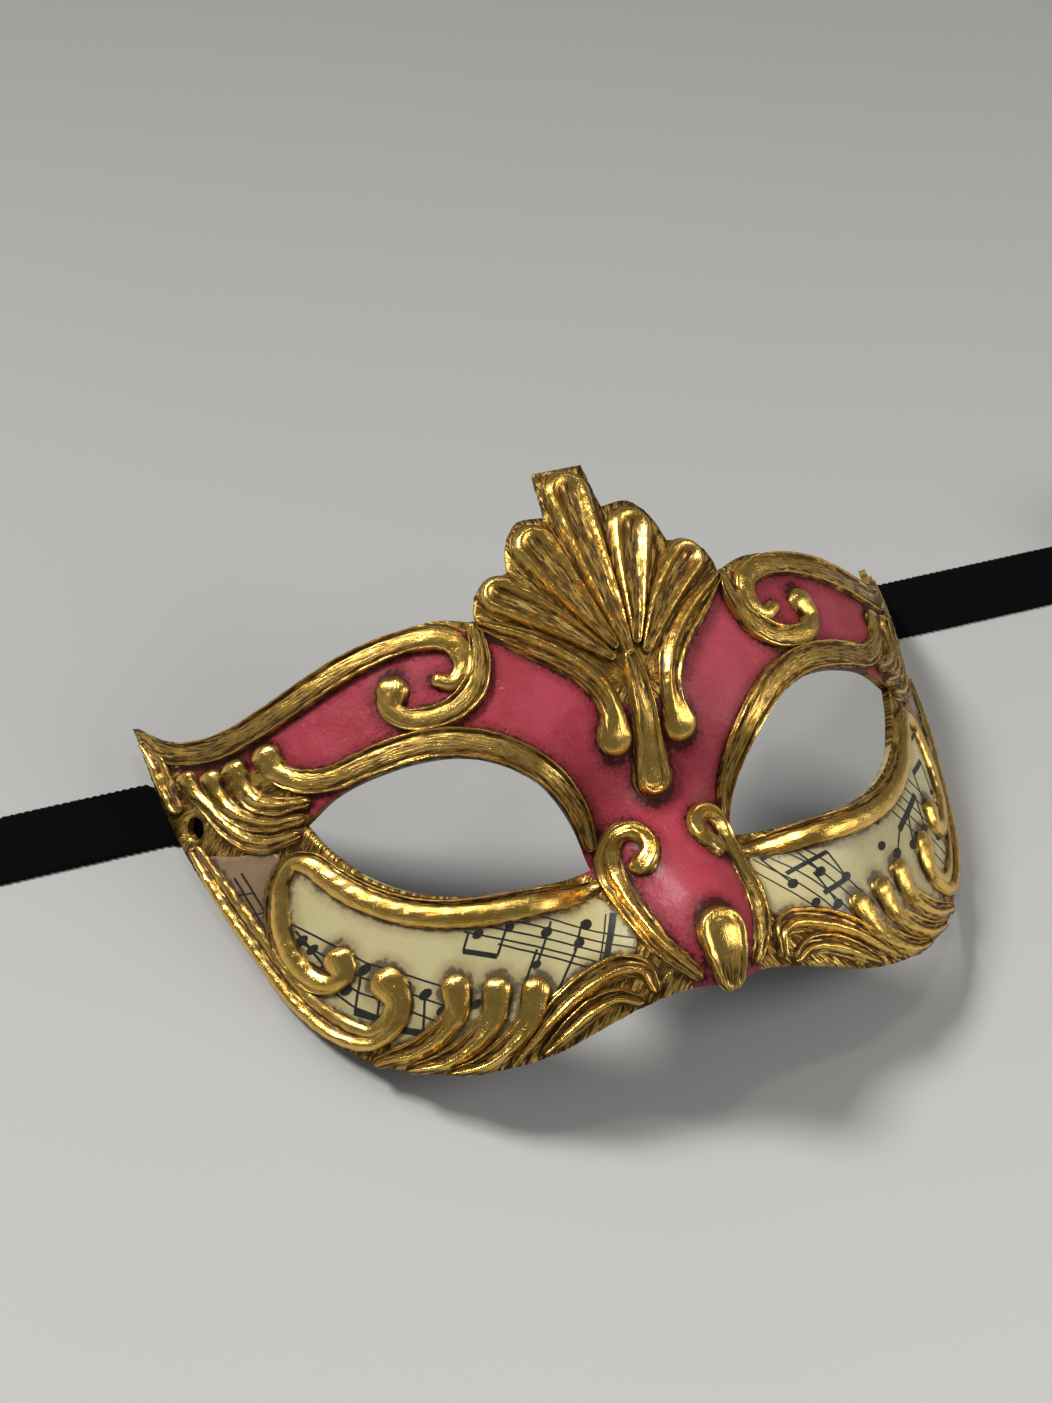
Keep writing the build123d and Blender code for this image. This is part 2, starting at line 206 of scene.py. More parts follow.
# ---- strokes of relief, right half ------------------------------------------------
# A profile, and the points of the stroke: x, u, half width, height, share of the section that is hollowed.
STROKES = {
    "brow_band": ("band", [
        (86.6, 19.4, 0.7, 0.9, 0.4), (84.6, 14.9, 1.8, 1.2, 0.8), (80.3, 11.4, 2.5, 1.4, 1),
        (75.6, 10.1, 2.9, 1.5, 1), (71, 10.5, 2.8, 1.6, 1), (65.0, 11.9, 2.8, 1.7, 1), (59.0, 13.7, 2.8, 1.7, 1),
        (52.8, 15.4, 2.8, 1.7, 1), (47.1, 16.3, 2.7, 1.7, 1), (41, 16.6, 2.6, 1.8, 0.9),
        (36.2, 15.9, 2.6, 1.9, 0.6), (32.6, 13.7, 2.5, 2.0, 0.35), (31.4, 10.4, 2.3, 2.0, 0.2),
        (32.3, 7.2, 2.0, 1.9, 0.2), (34.8, 5.6, 1.6, 1.8, 0.1), (37, 6.8, 1.6, 1.9, 0.0)]),
    "brow_scroll": ("band", [
        (45.7, 7.6, 3.1, 2.0, 0.0), (46.9, 4.2, 2.1, 1.8, 0.1), (44.6, 1.2, 2.3, 1.8, 0.35),
        (40.5, 0.1, 2.5, 1.8, 0.7), (35.3, 0.6, 2.7, 1.8, 1), (31.2, 3.4, 2.7, 1.8, 1), (28.9, 7.5, 2.4, 1.7, 1),
        (27.8, 12, 1.9, 1.5, 1), (27.8, 15.6, 1.2, 1.2, 0.6)]),
    "upper_eye_rim": ("band", [
        (69.4, 4.4, 2.4, 1.9, 0), (68.6, 0.6, 1.9, 1.7, 0.15), (65.0, -3.3, 2.4, 1.6, 0.7),
        (59.8, -5.1, 2.8, 1.6, 1), (54.6, -4.7, 3.0, 1.6, 1), (49, -4.4, 3.2, 1.7, 1), (43.2, -4.7, 3.2, 1.8, 1),
        (37.3, -6.1, 3.2, 1.8, 1), (31.2, -9.0, 3.1, 1.8, 1), (25.5, -13.4, 2.9, 1.8, 1),
        (20.0, -19.4, 2.6, 1.7, 1), (16.1, -26, 2.1, 1.6, 1), (14.6, -31.8, 1.3, 1.4, 0.6)]),
    "temple_comma_upper": ("flutes", [
        (74.8, 4.4, 2.1, 1.9, 0), (74.4, 0.4, 1.6, 1.6, 0.1), (73, -3.8, 1.9, 1.5, 0.5),
        (69.8, -6.5, 2.1, 1.4, 0.8), (65.6, -7.6, 1.3, 1.1, 0.8)]),
    "temple_comma_middle": ("flutes", [
        (78.8, 4.9, 1.7, 1.8, 0), (78.5, 1.1, 1.4, 1.5, 0.1), (77.2, -3.5, 1.6, 1.4, 0.5),
        (74.8, -7, 1.9, 1.4, 0.8), (71.6, -9.4, 1.9, 1.3, 0.8), (67.2, -10.4, 1.2, 1.1, 0.6)]),
    "temple_comma_lower": ("flutes", [
        (82.3, 7.2, 1.5, 1.7, 0), (81.8, 3.4, 1.2, 1.5, 0.1), (80.2, -1, 1.3, 1.4, 0.4),
        (78.4, -6.3, 1.6, 1.4, 0.7), (75.9, -10.6, 1.9, 1.4, 0.8), (72.9, -12.8, 2.0, 1.4, 0.8),
        (68.6, -13.2, 1.3, 1.2, 0.6)]),
    "temple_trim": ("rods", [
        (86.9, 18.4, 0.7, 1.2, 1), (85.8, 13, 1.2, 1.5, 1), (85.5, 7.6, 1.3, 1.5, 1), (85.0, 2.2, 1.0, 1.3, 1)]),
    "crest_lobe_center": ("lobe", [
        (0, 38.9, 5.5, 2.0, 1.12), (0, 33, 5.0, 2.0, 1.0), (0, 22, 3.8, 1.9, 0.8), (0, 11.5, 2.5, 1.7, 0.75),
        (0, 2.5, 1.2, 1.2, 0.6)]),
    "crest_lobe_upper": ("lobe", [
        (10.6, 28.8, 5.2, 2.0, 1.12), (9.0, 24.2, 4.7, 2.0, 1.0), (6.6, 17, 3.5, 1.8, 0.8),
        (4.2, 9.6, 2.2, 1.6, 0.75), (2.4, 4.4, 1.1, 1.1, 0.6)]),
    "crest_lobe_lower": ("lobe", [
        (20.6, 20.4, 4.5, 2.0, 1.12), (16.4, 16.7, 4.1, 2.0, 1.0), (11.2, 11.4, 3.2, 1.8, 0.8),
        (6.9, 6.2, 2.1, 1.6, 0.75), (3.8, 2.2, 1.1, 1.1, 0.6)]),
    "crest_stem": ("flutes", [
        (25.7, 14.9, 1.4, 1.4, 0.9), (21.7, 12.0, 2.5, 1.8, 1), (17.1, 8.4, 3.1, 2.0, 1), (12.3, 3.9, 3.1, 2.0, 1),
        (9, -0.5, 2.8, 1.9, 0.9), (7.2, -4.8, 2.4, 1.8, 0.8), (6.7, -9, 2.6, 1.8, 0.4), (7.1, -13.2, 3.8, 2.0, 0)]),
    "crest_pendant": ("lobe", [
        (0, 1.0, 1.9, 1.5, 0.6), (0, -6, 2.6, 1.6, 0.5), (0, -14, 3.1, 1.8, 0.35), (0, -21.9, 4.4, 2.0, 0.45)]),
    "nose_drop": ("lobe", [
        (0, -56.4, 4.9, 2.0, 0.25), (0, -60.3, 4.6, 1.8, 0.3), (0, -65.0, 3.2, 1.3, 0.5)]),
    "nose_scroll": ("flutes", [
        (7.9, -39.0, 2.3, 1.8, 0.2), (5.9, -37.0, 1.8, 1.8, 0.1), (5.5, -34.0, 1.9, 1.9, 0.2),
        (7.3, -31.6, 2.1, 2.0, 0.3), (10.0, -31.4, 2.2, 2.0, 0.4), (12.0, -33.4, 2.2, 1.9, 0.4),
        (12.9, -36.8, 2.3, 1.9, 0.5), (13.1, -41.1, 2.4, 1.8, 0.6), (12.9, -46.2, 2.4, 1.8, 0.8),
        (12.2, -51.3, 2.3, 1.7, 0.9), (10.8, -56, 2.1, 1.6, 0.9), (8.6, -59.9, 1.8, 1.5, 0.9),
        (6.2, -63.3, 1.2, 1.2, 0.6)]),
    "lower_eye_rim": ("ledge", [
        (16.4, -40.2, 1.5, 1.3, 0.8), (24, -40.8, 2.8, 1.6, 1), (33.1, -40.7, 3.1, 1.8, 1),
        (41.4, -39.7, 3.1, 1.8, 1), (48.9, -37.6, 3.0, 1.8, 1), (55.2, -34.2, 2.9, 1.8, 1),
        (60.8, -29.2, 2.8, 1.8, 1), (64.8, -23.7, 2.6, 1.7, 1), (67.4, -19.5, 2.3, 1.6, 1),
        (70, -18.2, 2.0, 1.5, 1), (72.2, -20.0, 1.9, 1.5, 1), (74.0, -24.7, 2.0, 1.6, 1),
        (74.8, -31, 2.1, 1.7, 0.9), (74.0, -37, 2.1, 1.8, 0.7), (71.9, -41.6, 2.1, 1.8, 0.5),
        (69.2, -43.8, 2.0, 1.8, 0.2), (66.8, -42.9, 2.0, 1.8, 0.1), (66.9, -39.8, 2.7, 2.0, 0)]),
    "side_border": ("rods", [
        (84.0, -7.6, 0.9, 1.2, 1), (82.7, -13.5, 1.4, 1.5, 1), (81.1, -20.6, 1.7, 1.6, 1),
        (79.3, -27.6, 1.8, 1.6, 1), (77.2, -35.4, 1.9, 1.6, 1), (73.8, -45.4, 2.2, 1.7, 1),
        (68.9, -53.4, 2.5, 1.8, 0.9), (65, -56.2, 2.7, 1.9, 0.6), (61.2, -54.8, 2.6, 1.9, 0.2),
        (59.2, -51.2, 2.5, 1.9, 0), (60.2, -47.2, 3.2, 2.0, 0)]),
    "cheek_comma_outer": ("flutes", [
        (49.3, -52.4, 2.9, 2.0, 0), (50.1, -56.4, 2.3, 1.9, 0.1), (53.4, -59.4, 2.7, 1.8, 0.7),
        (58.4, -61.3, 2.6, 1.6, 1), (64.4, -61.2, 1.4, 1.2, 0.8)]),
    "cheek_comma_middle": ("flutes", [
        (42.5, -55.3, 2.9, 2.0, 0), (44.2, -59.6, 2.3, 1.9, 0.1), (48.4, -63, 2.7, 1.8, 0.7),
        (54, -65, 2.4, 1.6, 1), (59.4, -64.6, 1.2, 1.2, 0.8)]),
    "cheek_comma_inner": ("flutes", [
        (35.7, -57.5, 2.9, 2.0, 0), (38.2, -62.3, 2.3, 1.9, 0.1), (42.6, -65.7, 2.6, 1.8, 0.7),
        (47.8, -67.7, 2.1, 1.6, 1), (52.6, -67.6, 1.1, 1.2, 0.8)]),
    "cheek_leaf_upper": ("flutes", [
        (13.9, -62.9, 1.4, 1.5, 0.6), (14.8, -59.2, 2.0, 1.7, 0.8), (18.4, -57.4, 2.7, 1.8, 1),
        (24.9, -58.4, 3.0, 1.9, 1), (31.8, -61.4, 2.8, 1.9, 1), (37.6, -65.4, 2.2, 1.7, 1),
        (42, -68.8, 1.0, 1.2, 0.8)]),
    "cheek_leaf_lower": ("flutes", [
        (17.4, -64.7, 1.3, 1.4, 0.6), (21, -62.9, 1.9, 1.6, 1), (26.4, -63.6, 2.4, 1.8, 1),
        (31.6, -66.1, 2.2, 1.7, 1), (36.2, -68.8, 1.1, 1.2, 0.8)]),
}
MIDDLE = ("crest_lobe_center", "crest_pendant", "nose_drop")
SIDES = {"left": -1, "right": 1}
ACROSS = 34                 # profile steps across a stroke
DEPTH_IN_SKIN = 0.25        # a stroke is bedded this deep, so no gap shows below it


def profile_height(kind, rho, side, hollow):
    """Height of a stroke's section, 0 to 1. rho runs 0 to 1 from its middle to its edge, side is signed."""
    edge = np.sqrt(np.maximum(1 - rho**9, 0))
    crown = np.maximum(1 - rho**2, 0) ** 0.5
    if kind == "lobe":
        rim = hill(rho, 0.74 - 0.10 * hollow, 0.16 + 0.12 * hollow)
        heart = (1 - 0.86 * hollow) * np.sqrt(np.maximum(1 - (rho / 0.82) ** 2, 0))
        return edge * np.maximum(rim, heart)
    if kind == "rods":
        rods = np.sqrt(np.maximum(1 - ((rho - 0.52) / 0.48) ** 2, 0))
        sunk = np.maximum(rods * (0.82 + 0.18 * np.sign(side)), 0.1 * edge)
    elif kind == "ledge":
        rod = np.sqrt(np.maximum(1 - ((side + 0.2) / 0.8) ** 2, 0))
        sunk = edge * np.maximum(np.maximum(rod, 0.80 * hill(side, 0.86, 0.10)), 0.22)
    elif kind == "flutes":
        ridges = np.maximum(hill(side, -0.30, 0.40), 0.86 * hill(side, 0.66, 0.15))
        sunk = edge * np.maximum(ridges, 0.22)
    else:
        beads = 0.98 * hill(rho, 0.85, 0.10)
        floor = (0.40 + 0.16 * (1 - rho**2)) * (1 - 0.4 * hill(rho, 0.64, 0.09))
        sunk = edge * np.maximum(beads, floor)
    return crown * (1 - hollow) + sunk * hollow


def stroke_line(stroke, sign):
    """Centre line with round-end run-outs, and the half width, height, hollow and end dome along it."""
    marks = np.array(stroke[1], float)
    line, share = smooth_line(flipped(marks[:, :2], sign), spacing=0.42)
    values = [np.interp(share, np.arange(len(marks)), marks[:, k]) for k in (2, 3, 4)]
    dome = np.ones(len(line))
    ends = []
    for first in (True, False):
        tip, width = (line[0], values[0][0]) if first else (line[-1], values[0][-1])
        away = (line[0] - line[1]) if first else (line[-1] - line[-2])
        away = away / np.linalg.norm(away)
        angles = np.radians(np.linspace(12, 86, 8))
        points = tip + away * (np.sin(angles) * width)[:, None]
        pick = 0 if first else -1
        extra = [np.full(8, v[pick]) for v in values]
        ends.append((points, extra, np.cos(angles)))
    start, stop = ends
    line = np.concatenate([start[0][::-1], line, stop[0]])
    values = [np.concatenate([start[1][k][::-1], values[k], stop[1][k]]) for k in range(3)]
    dome = np.concatenate([start[2][::-1], dome, stop[2]])
    return line, values[0], values[1], values[2], dome


def stroke_mesh(name, stroke, sign, seed=0):
    """Closed mesh of one stroke, laid on the skin, with its relief share and its flow kept for the finish."""
    line, widths, heights, hollows, dome = stroke_line(stroke, sign)
    ahead = np.gradient(line, axis=0)
    ahead /= np.linalg.norm(ahead, axis=1)[:, None]
    across = np.stack([-ahead[:, 1], ahead[:, 0]], 1) * sign
    v = np.sin(np.linspace(-math.pi / 2, math.pi / 2, ACROSS + 1))
    rows = len(line)
    plan = line[:, None] + across[:, None] * (widths * dome)[:, None, None] * v[None, :, None]
    rho = np.sqrt(np.clip(1 - dome[:, None] ** 2 * (1 - v[None] ** 2), 0, 1))
    section = profile_height(stroke[0], rho, np.broadcast_to(v, rho.shape), hollows[:, None])
    flat = plan.reshape(-1, 2)
    uneven = 1 + 0.05 * grain(flat, 0.9, seed).reshape(rows, -1)
    lifts = section * uneven * heights[:, None]
    wobble = np.stack([grain(flat, 1.3, seed + 5), grain(flat, 1.3, seed + 9)], 1) * 0.10
    top = on_skin(flat + wobble, lifts.reshape(-1))
    low = on_skin(flat + wobble, -DEPTH_IN_SKIN)
    columns = ACROSS + 1
    count = rows * columns
    index = np.arange(count).reshape(rows, columns)
    faces = []
    for i in range(rows - 1):
        for j in range(ACROSS):
            a, b, c, d = index[i, j], index[i, j + 1], index[i + 1, j + 1], index[i + 1, j]
            faces.append((a, b, c, d))
            faces.append((a + count, d + count, c + count, b + count))
        for j, order in ((0, 1), (ACROSS, -1)):
            a, d = index[i, j], index[i + 1, j]
            faces.append((a, d, d + count, a + count)[::order])
    for i, order in ((0, 1), (rows - 1, -1)):
        for j in range(ACROSS):
            a, b = index[i, j], index[i, j + 1]
            faces.append((b, a, a + count, b + count)[::order])
    mesh = bpy.data.meshes.new(name)
    mesh.from_pydata(np.concatenate([top, low]).tolist(), [], [tuple(map(int, f)) for f in faces])
    length = np.concatenate([[0], np.cumsum(np.linalg.norm(np.diff(line, axis=0), axis=1))])
    relief = np.clip(lifts.reshape(-1) / 1.9, 0, 1)
    keep_values(mesh, "relief", np.concatenate([relief, np.zeros(count)]))
    keep_values(mesh, "along", np.concatenate([np.repeat(length, columns)] * 2))
    keep_values(mesh, "across", np.concatenate([np.tile(v, rows) * np.repeat(widths, columns)] * 2))
    mesh.polygons.foreach_set("use_smooth", [True] * len(mesh.polygons))
    mesh.update()
    recalculate(mesh)
    return mesh


def keep_values(mesh, name, values):
    layer = mesh.attributes.new(name, "FLOAT", "POINT")
    layer.data.foreach_set("value", np.asarray(values, np.float32))


def recalculate(mesh):
    work = bmesh.new()
    work.from_mesh(mesh)
    bmesh.ops.remove_doubles(work, verts=work.verts, dist=1e-6)
    bmesh.ops.recalc_face_normals(work, faces=work.faces)
    work.to_mesh(mesh)
    work.free()


def put(name, data):
    """New object in the scene."""
    thing = bpy.data.objects.new(name, data)
    bpy.context.scene.collection.objects.link(thing)
    return thing


def place(name, mesh, material, body="mask", replaces=()):
    """Piece of the object, with its finish, its body and the CAD pieces it stands in for."""
    piece = put(name, mesh)
    mesh.materials.append(material)
    if body:
        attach(piece, body)
    if replaces:
        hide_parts(*replaces)
    return piece


# ---- finishes -----------------------------------------------------------------
class Nodes:
    """Short way to write a node tree."""

    def __init__(self, tree):
        self.tree = tree

    def add(self, kind, settings=None, **inputs):
        node = self.tree.nodes.new(kind)
        for key, value in (settings or {}).items():
            setattr(node, key, value)
        for key, value in inputs.items():
            socket = node.inputs[int(key[1:]) if key[0] == "i" and key[1:].isdigit() else key.replace("_", " ")]
            self.join(value, socket)
        return node

    def join(self, value, socket):
        if isinstance(value, bpy.types.NodeSocket):
            self.tree.links.new(value, socket)
        elif isinstance(value, bpy.types.Node):
            self.tree.links.new(value.outputs[0], socket)
        else:
            socket.default_value = value

    def math(self, operation, a, b=0.0, c=None):
        node = self.add("ShaderNodeMath", {"operation": operation}, i0=a, i1=b)
        if c is not None:
            self.join(c, node.inputs[2])
        return node.outputs[0]

    def mix(self, share, a, b, blend="MIX"):
        node = self.add("ShaderNodeMix", {"data_type": "RGBA", "blend_type": blend})
        self.join(share, node.inputs[0])
        self.join(a, node.inputs[6])
        self.join(b, node.inputs[7])
        return node.outputs[2]

    def glaze(self, colour, mask, strength, glaze):
        """One colour laid over another by a share of a mask."""
        return self.mix(self.math("MULTIPLY", mask, strength), colour, glaze)

    def span(self, value, low, high, to_low=0.0, to_high=1.0):
        node = self.add("ShaderNodeMapRange", {"interpolation_type": "SMOOTHSTEP"})
        for k, item in enumerate((value, low, high, to_low, to_high)):
            self.join(item, node.inputs[k])
        return node.outputs[0]

    def attribute(self, name):
        return self.add("ShaderNodeAttribute", {"attribute_name": name}).outputs["Fac"]

    def noise(self, vector, scale, detail=4.0, roughness=0.6):
        return self.add("ShaderNodeTexNoise", None, Vector=vector, Scale=scale, Detail=detail,
                        Roughness=roughness).outputs["Fac"]


def effect_group(name, inputs, outputs, fill):
    """Shader node group with named inputs and outputs, built once."""
    if name in bpy.data.node_groups:
        return bpy.data.node_groups[name]
    tree = bpy.data.node_groups.new(name, "ShaderNodeTree")
    for label, kind, default in inputs:
        socket = tree.interface.new_socket(label, in_out="INPUT", socket_type=kind)
        if default is not None:
            socket.default_value = default
    for label, kind in outputs:
        tree.interface.new_socket(label, in_out="OUTPUT", socket_type=kind)
    nodes = Nodes(tree)
    start = tree.nodes.new("NodeGroupInput")
    end = tree.nodes.new("NodeGroupOutput")
    for label, socket in fill(nodes, start.outputs).items():
        tree.links.new(socket, end.inputs[label])
    return tree


def hand_wear():
    """Uneven patches and fine specks for anything that was painted and rubbed by hand."""
    def fill(n, given):
        patches = n.noise(given["Vector"], given["Patch Scale"], 5.0, 0.62)
        specks = n.noise(given["Vector"], given["Speck Scale"], 3.0, 0.7)
        return {
            "Patches": n.span(patches, 0.32, 0.68),
            "Specks": n.span(specks, given["Speck Start"], 0.78),
        }
    return effect_group(
        "hand_wear",
        [("Vector", "NodeSocketVector", None), ("Patch Scale", "NodeSocketFloat", 120.0),
         ("Speck Scale", "NodeSocketFloat", 1400.0), ("Speck Start", "NodeSocketFloat", 0.6)],
        [("Patches", "NodeSocketFloat"), ("Specks", "NodeSocketFloat")], fill)


def relief_grime():
    """Dark patina that settles low on the relief and rubs off the high places."""
    def fill(n, given):
        streaks = n.noise(given["Flow"], 1.0, 4.0, 0.65)
        blur = n.math("MULTIPLY_ADD", n.math("SUBTRACT", streaks, 0.5), given["Unevenness"], given["Relief"])
        glints = n.span(n.noise(given["Flow"], 0.5, 5.0, 0.75), 0.49, 0.57)
        held = n.math("MULTIPLY_ADD", glints, given["Glints"], 1.0)
        grime = n.span(blur, given["Clean From"], given["Dark Below"])
        return {"Grime": n.math("MULTIPLY", grime, held), "Streaks": streaks}
    return effect_group(
        "relief_grime",
        [("Relief", "NodeSocketFloat", 0.5), ("Flow", "NodeSocketVector", None),
         ("Unevenness", "NodeSocketFloat", 0.5), ("Clean From", "NodeSocketFloat", 0.8),
         ("Glints", "NodeSocketFloat", -0.72), ("Dark Below", "NodeSocketFloat", 0.2)],
        [("Grime", "NodeSocketFloat"), ("Streaks", "NodeSocketFloat")], fill)


def use_group(n, tree, **inputs):
    node = n.tree.nodes.new("ShaderNodeGroup")
    node.node_tree = tree
    for key, value in inputs.items():
        n.join(value, node.inputs[key.replace("_", " ")])
    return node.outputs


def new_material(name, **principled):
    material = bpy.data.materials.new(name)
    material.use_nodes = True
    n = Nodes(material.node_tree)
    shader = material.node_tree.nodes["Principled BSDF"]
    for key, value in principled.items():
        shader.inputs[key.replace("_", " ")].default_value = value
    where = n.add("ShaderNodeTexCoord").outputs["Object"]
    return material, n, shader, where


def dress(n, shader, colour, rough, height, strength, depth):
    """Join a finish's colour, roughness and bump to its shader."""
    n.join(colour, shader.inputs["Base Color"])
    if rough is not None:
        n.join(rough, shader.inputs["Roughness"])
    bump = n.add("ShaderNodeBump", None, Strength=strength, Distance=depth, Height=height)
    n.join(bump.outputs[0], shader.inputs["Normal"])


def gold_nodes(n, where, relief, flow, colours, uneven):
    """Colour, roughness, height and grime of antiqued leaf."""
    grime = use_group(n, relief_grime(), Relief=relief, Flow=flow, Unevenness=uneven, Clean_From=0.72,
                      Dark_Below=0.36)
    wear = use_group(n, hand_wear(), Vector=where, Patch_Scale=260.0, Speck_Scale=2600.0, Speck_Start=0.55)
    leaf = n.mix(wear["Patches"], colours["leaf"], colours["leaf_deep"])
    leaf = n.glaze(leaf, wear["Specks"], 0.5, colours["grime_warm"])
    warm = n.mix(n.span(grime["Streaks"], 0.40, 0.64), colours["grime"], colours["grime_warm"])
    colour = n.glaze(leaf, grime["Grime"], 0.95, warm)
    rough = n.span(grime["Grime"], 0.0, 1.0, 0.21, 0.55)
    height = n.math("ADD", n.math("MULTIPLY", grime["Streaks"], 1.1), n.math("MULTIPLY", wear["Specks"], -0.25))
    return colour, rough, height, grime["Grime"]


def flow_vector(n, along=0.30, across=2.6):
    """Coordinates that run with a stroke, so streaks follow the modelling tool."""
    return n.add("ShaderNodeCombineXYZ", None, X=n.math("MULTIPLY", n.attribute("along"), along),
                 Y=n.math("MULTIPLY", n.attribute("across"), across)).outputs[0]


def antique_gold(colours):
    material, n, shader, where = new_material("antique_gold_leaf", Metallic=1.0, Coat_Weight=0.10,
                                              Coat_Roughness=0.2)
    colour, rough, height, grime = gold_nodes(n, where, n.attribute("relief"), flow_vector(n), colours, 0.7)
    n.join(n.math("MULTIPLY_ADD", grime, -0.35, 1.0), shader.inputs["Metallic"])
    dress(n, shader, colour, rough, height, 0.5, 0.00022)
    return material


def gilt_ground(colours):
    """The skin itself where it is gilded between the strokes."""
    material, n, shader, where = new_material("gilt_ground", Metallic=0.9)
    relief = n.math("MULTIPLY_ADD", n.span(n.attribute("gap"), 0.1, 1.4), 0.36, 0.18)
    colour, rough, height, grime = gold_nodes(n, where, relief, flow_vector(n, 0.35, 2.2), colours, 1.15)
    dress(n, shader, colour, rough, height, 0.7, 0.0004)
    return material


def pink_enamel(colours):
    material, n, shader, where = new_material("pink_enamel", Coat_Weight=0.26, Coat_Roughness=0.04,
                                              Specular_IOR_Level=0.12)
    wear = use_group(n, hand_wear(), Vector=where, Patch_Scale=90.0, Speck_Scale=1500.0, Speck_Start=0.60)
    colour = n.mix(wear["Patches"], colours["pink"], colours["pink_deep"])
    colour = n.glaze(colour, wear["Specks"], 0.35, colours["stain"])
    fringe = n.noise(where, 900.0, 5.0, 0.75)
    reach = n.math("MULTIPLY_ADD", n.math("SUBTRACT", fringe, 0.5), -2.4, n.attribute("gap"))
    colour = n.glaze(colour, n.span(reach, 2.6, 0.3), 0.55, colours["stain"])
    dots = n.math("MULTIPLY", n.span(n.noise(where, 1700.0, 4.0, 0.75), 0.54, 0.64),
                  n.span(n.attribute("gap"), 3.6, 0.6))
    colour = n.glaze(colour, dots, 0.75, colours["stain_dark"])
    colour = n.glaze(colour, n.span(reach, 0.60, 0.10), 0.92, colours["stain_dark"])
    swell = n.noise(where, 260.0, 3.0, 0.55)
    creases = n.math("ABSOLUTE", n.math("SUBTRACT", n.noise(where, 520.0, 4.0, 0.6), 0.5))
    pits = n.noise(where, 2100.0, 3.0, 0.6)
    height = n.math("ADD", swell, n.math("ADD", n.math("MULTIPLY", creases, 0.55), n.math("MULTIPLY", pits, 0.12)))
    dress(n, shader, colour, n.span(wear["Patches"], 0, 1, 0.30, 0.42), height, 0.42, 0.0006)
    gloss = n.add("ShaderNodeBump", None, Strength=1.0, Distance=0.0012, Height=height)
    n.join(gloss.outputs[0], shader.inputs["Coat Normal"])
    return material


def black_lining(colours):
    material, n, shader, where = new_material("black_lining")
    wear = use_group(n, hand_wear(), Vector=where, Patch_Scale=160.0, Speck_Scale=2400.0, Speck_Start=0.5)
    colour = n.mix(wear["Patches"], (0.012, 0.011, 0.011, 1), (0.022, 0.020, 0.019, 1))
    colour = n.glaze(colour, wear["Specks"], 0.4, (0.07, 0.06, 0.055, 1))
    fibre = n.noise(where, 800.0, 6.0, 0.7)
    dress(n, shader, colour, n.span(wear["Patches"], 0, 1, 0.55, 0.75), fibre, 0.6, 0.0004)
    return material


def aged_paper(name, light, dark, colours):
    material, n, shader, where = new_material(name, Coat_Weight=0.15, Coat_Roughness=0.3)
    wear = use_group(n, hand_wear(), Vector=where, Patch_Scale=70.0, Speck_Scale=1700.0, Speck_Start=0.62)
    colour = n.mix(wear["Patches"], light, dark)
    colour = n.glaze(colour, wear["Specks"], 0.22, colours["grime_warm"])
    fringe = n.noise(where, 500.0, 5.0, 0.7)
    reach = n.math("MULTIPLY_ADD", n.math("SUBTRACT", fringe, 0.5), -2.2, n.attribute("gap"))
    colour = n.glaze(colour, n.span(reach, 2.6, 0.2), 0.42, colours["paper_stain"])
    colour = n.glaze(colour, n.span(reach, 0.7, 0.1), 0.75, colours["grime"])
    fibre = n.noise(where, 1300.0, 5.0, 0.6)
    dress(n, shader, colour, n.span(wear["Patches"], 0, 1, 0.42, 0.55), fibre, 0.25, 0.00025)
    return material


def printing_ink():
    material, n, shader, where = new_material("printing_ink", Roughness=0.55)
    fade = n.span(n.noise(where, 900.0, 4.0, 0.65), 0.35, 0.75)
    colour = n.mix(fade, (0.006, 0.006, 0.005, 1), (0.030, 0.030, 0.020, 1))
    n.join(colour, shader.inputs["Base Color"])
    return material


def woven_ribbon():
    material, n, shader, where = new_material("woven_ribbon", Roughness=1.0, Specular_IOR_Level=0.12)
    cloth = n.add("ShaderNodeCombineXYZ", None, X=n.attribute("along"), Y=n.attribute("across")).outputs[0]
    ribs = n.add("ShaderNodeTexWave", {"wave_type": "BANDS", "bands_direction": "X"}, Vector=cloth, Scale=0.55,
                 Distortion=0.6, Detail=1.0).outputs["Fac"]
    yarn = n.add("ShaderNodeTexWave", {"wave_type": "BANDS", "bands_direction": "Y"}, Vector=cloth, Scale=0.9,
                 Distortion=0.4, Detail=1.0).outputs["Fac"]
    weave = n.math("ADD", n.math("MULTIPLY", ribs, 0.6), n.math("MULTIPLY", yarn, 0.4))
    lint = n.span(n.noise(where, 2200.0, 4.0, 0.7), 0.60, 0.85)
    colour = n.mix(weave, (0.0012, 0.0012, 0.0014, 1), (0.0045, 0.0045, 0.005, 1))
    colour = n.glaze(colour, lint, 0.35, (0.016, 0.016, 0.018, 1))
    dress(n, shader, colour, None, weave, 0.8, 0.00025)
    return material


def pale_table():
    material, n, shader, where = new_material("pale_table", Roughness=0.6)
    tone = n.noise(where, 3.0, 3.0, 0.5)
    colour = n.mix(tone, (0.66, 0.66, 0.645, 1), (0.72, 0.72, 0.705, 1))
    # Painted shade: the table's colour is darkened towards the far side (larger Object Y), standing in for the
    # light falling off across it
    depth = n.add("ShaderNodeSeparateXYZ", None, Vector=where).outputs["Y"]
    shade = n.add("ShaderNodeMapRange", None, Value=depth)
    for k, value in enumerate((-0.16, 0.30, 1.0, 0.46)):
        shade.inputs[k + 1].default_value = value
    colour = n.mix(1.0, colour, shade.outputs[0], "MULTIPLY")
    lint = n.span(n.noise(where, 240.0, 2.0, 0.4), 0.80, 0.86)
    colour = n.glaze(colour, lint, 0.5, (0.08, 0.08, 0.07, 1))
    n.join(colour, shader.inputs["Base Color"])
    return material


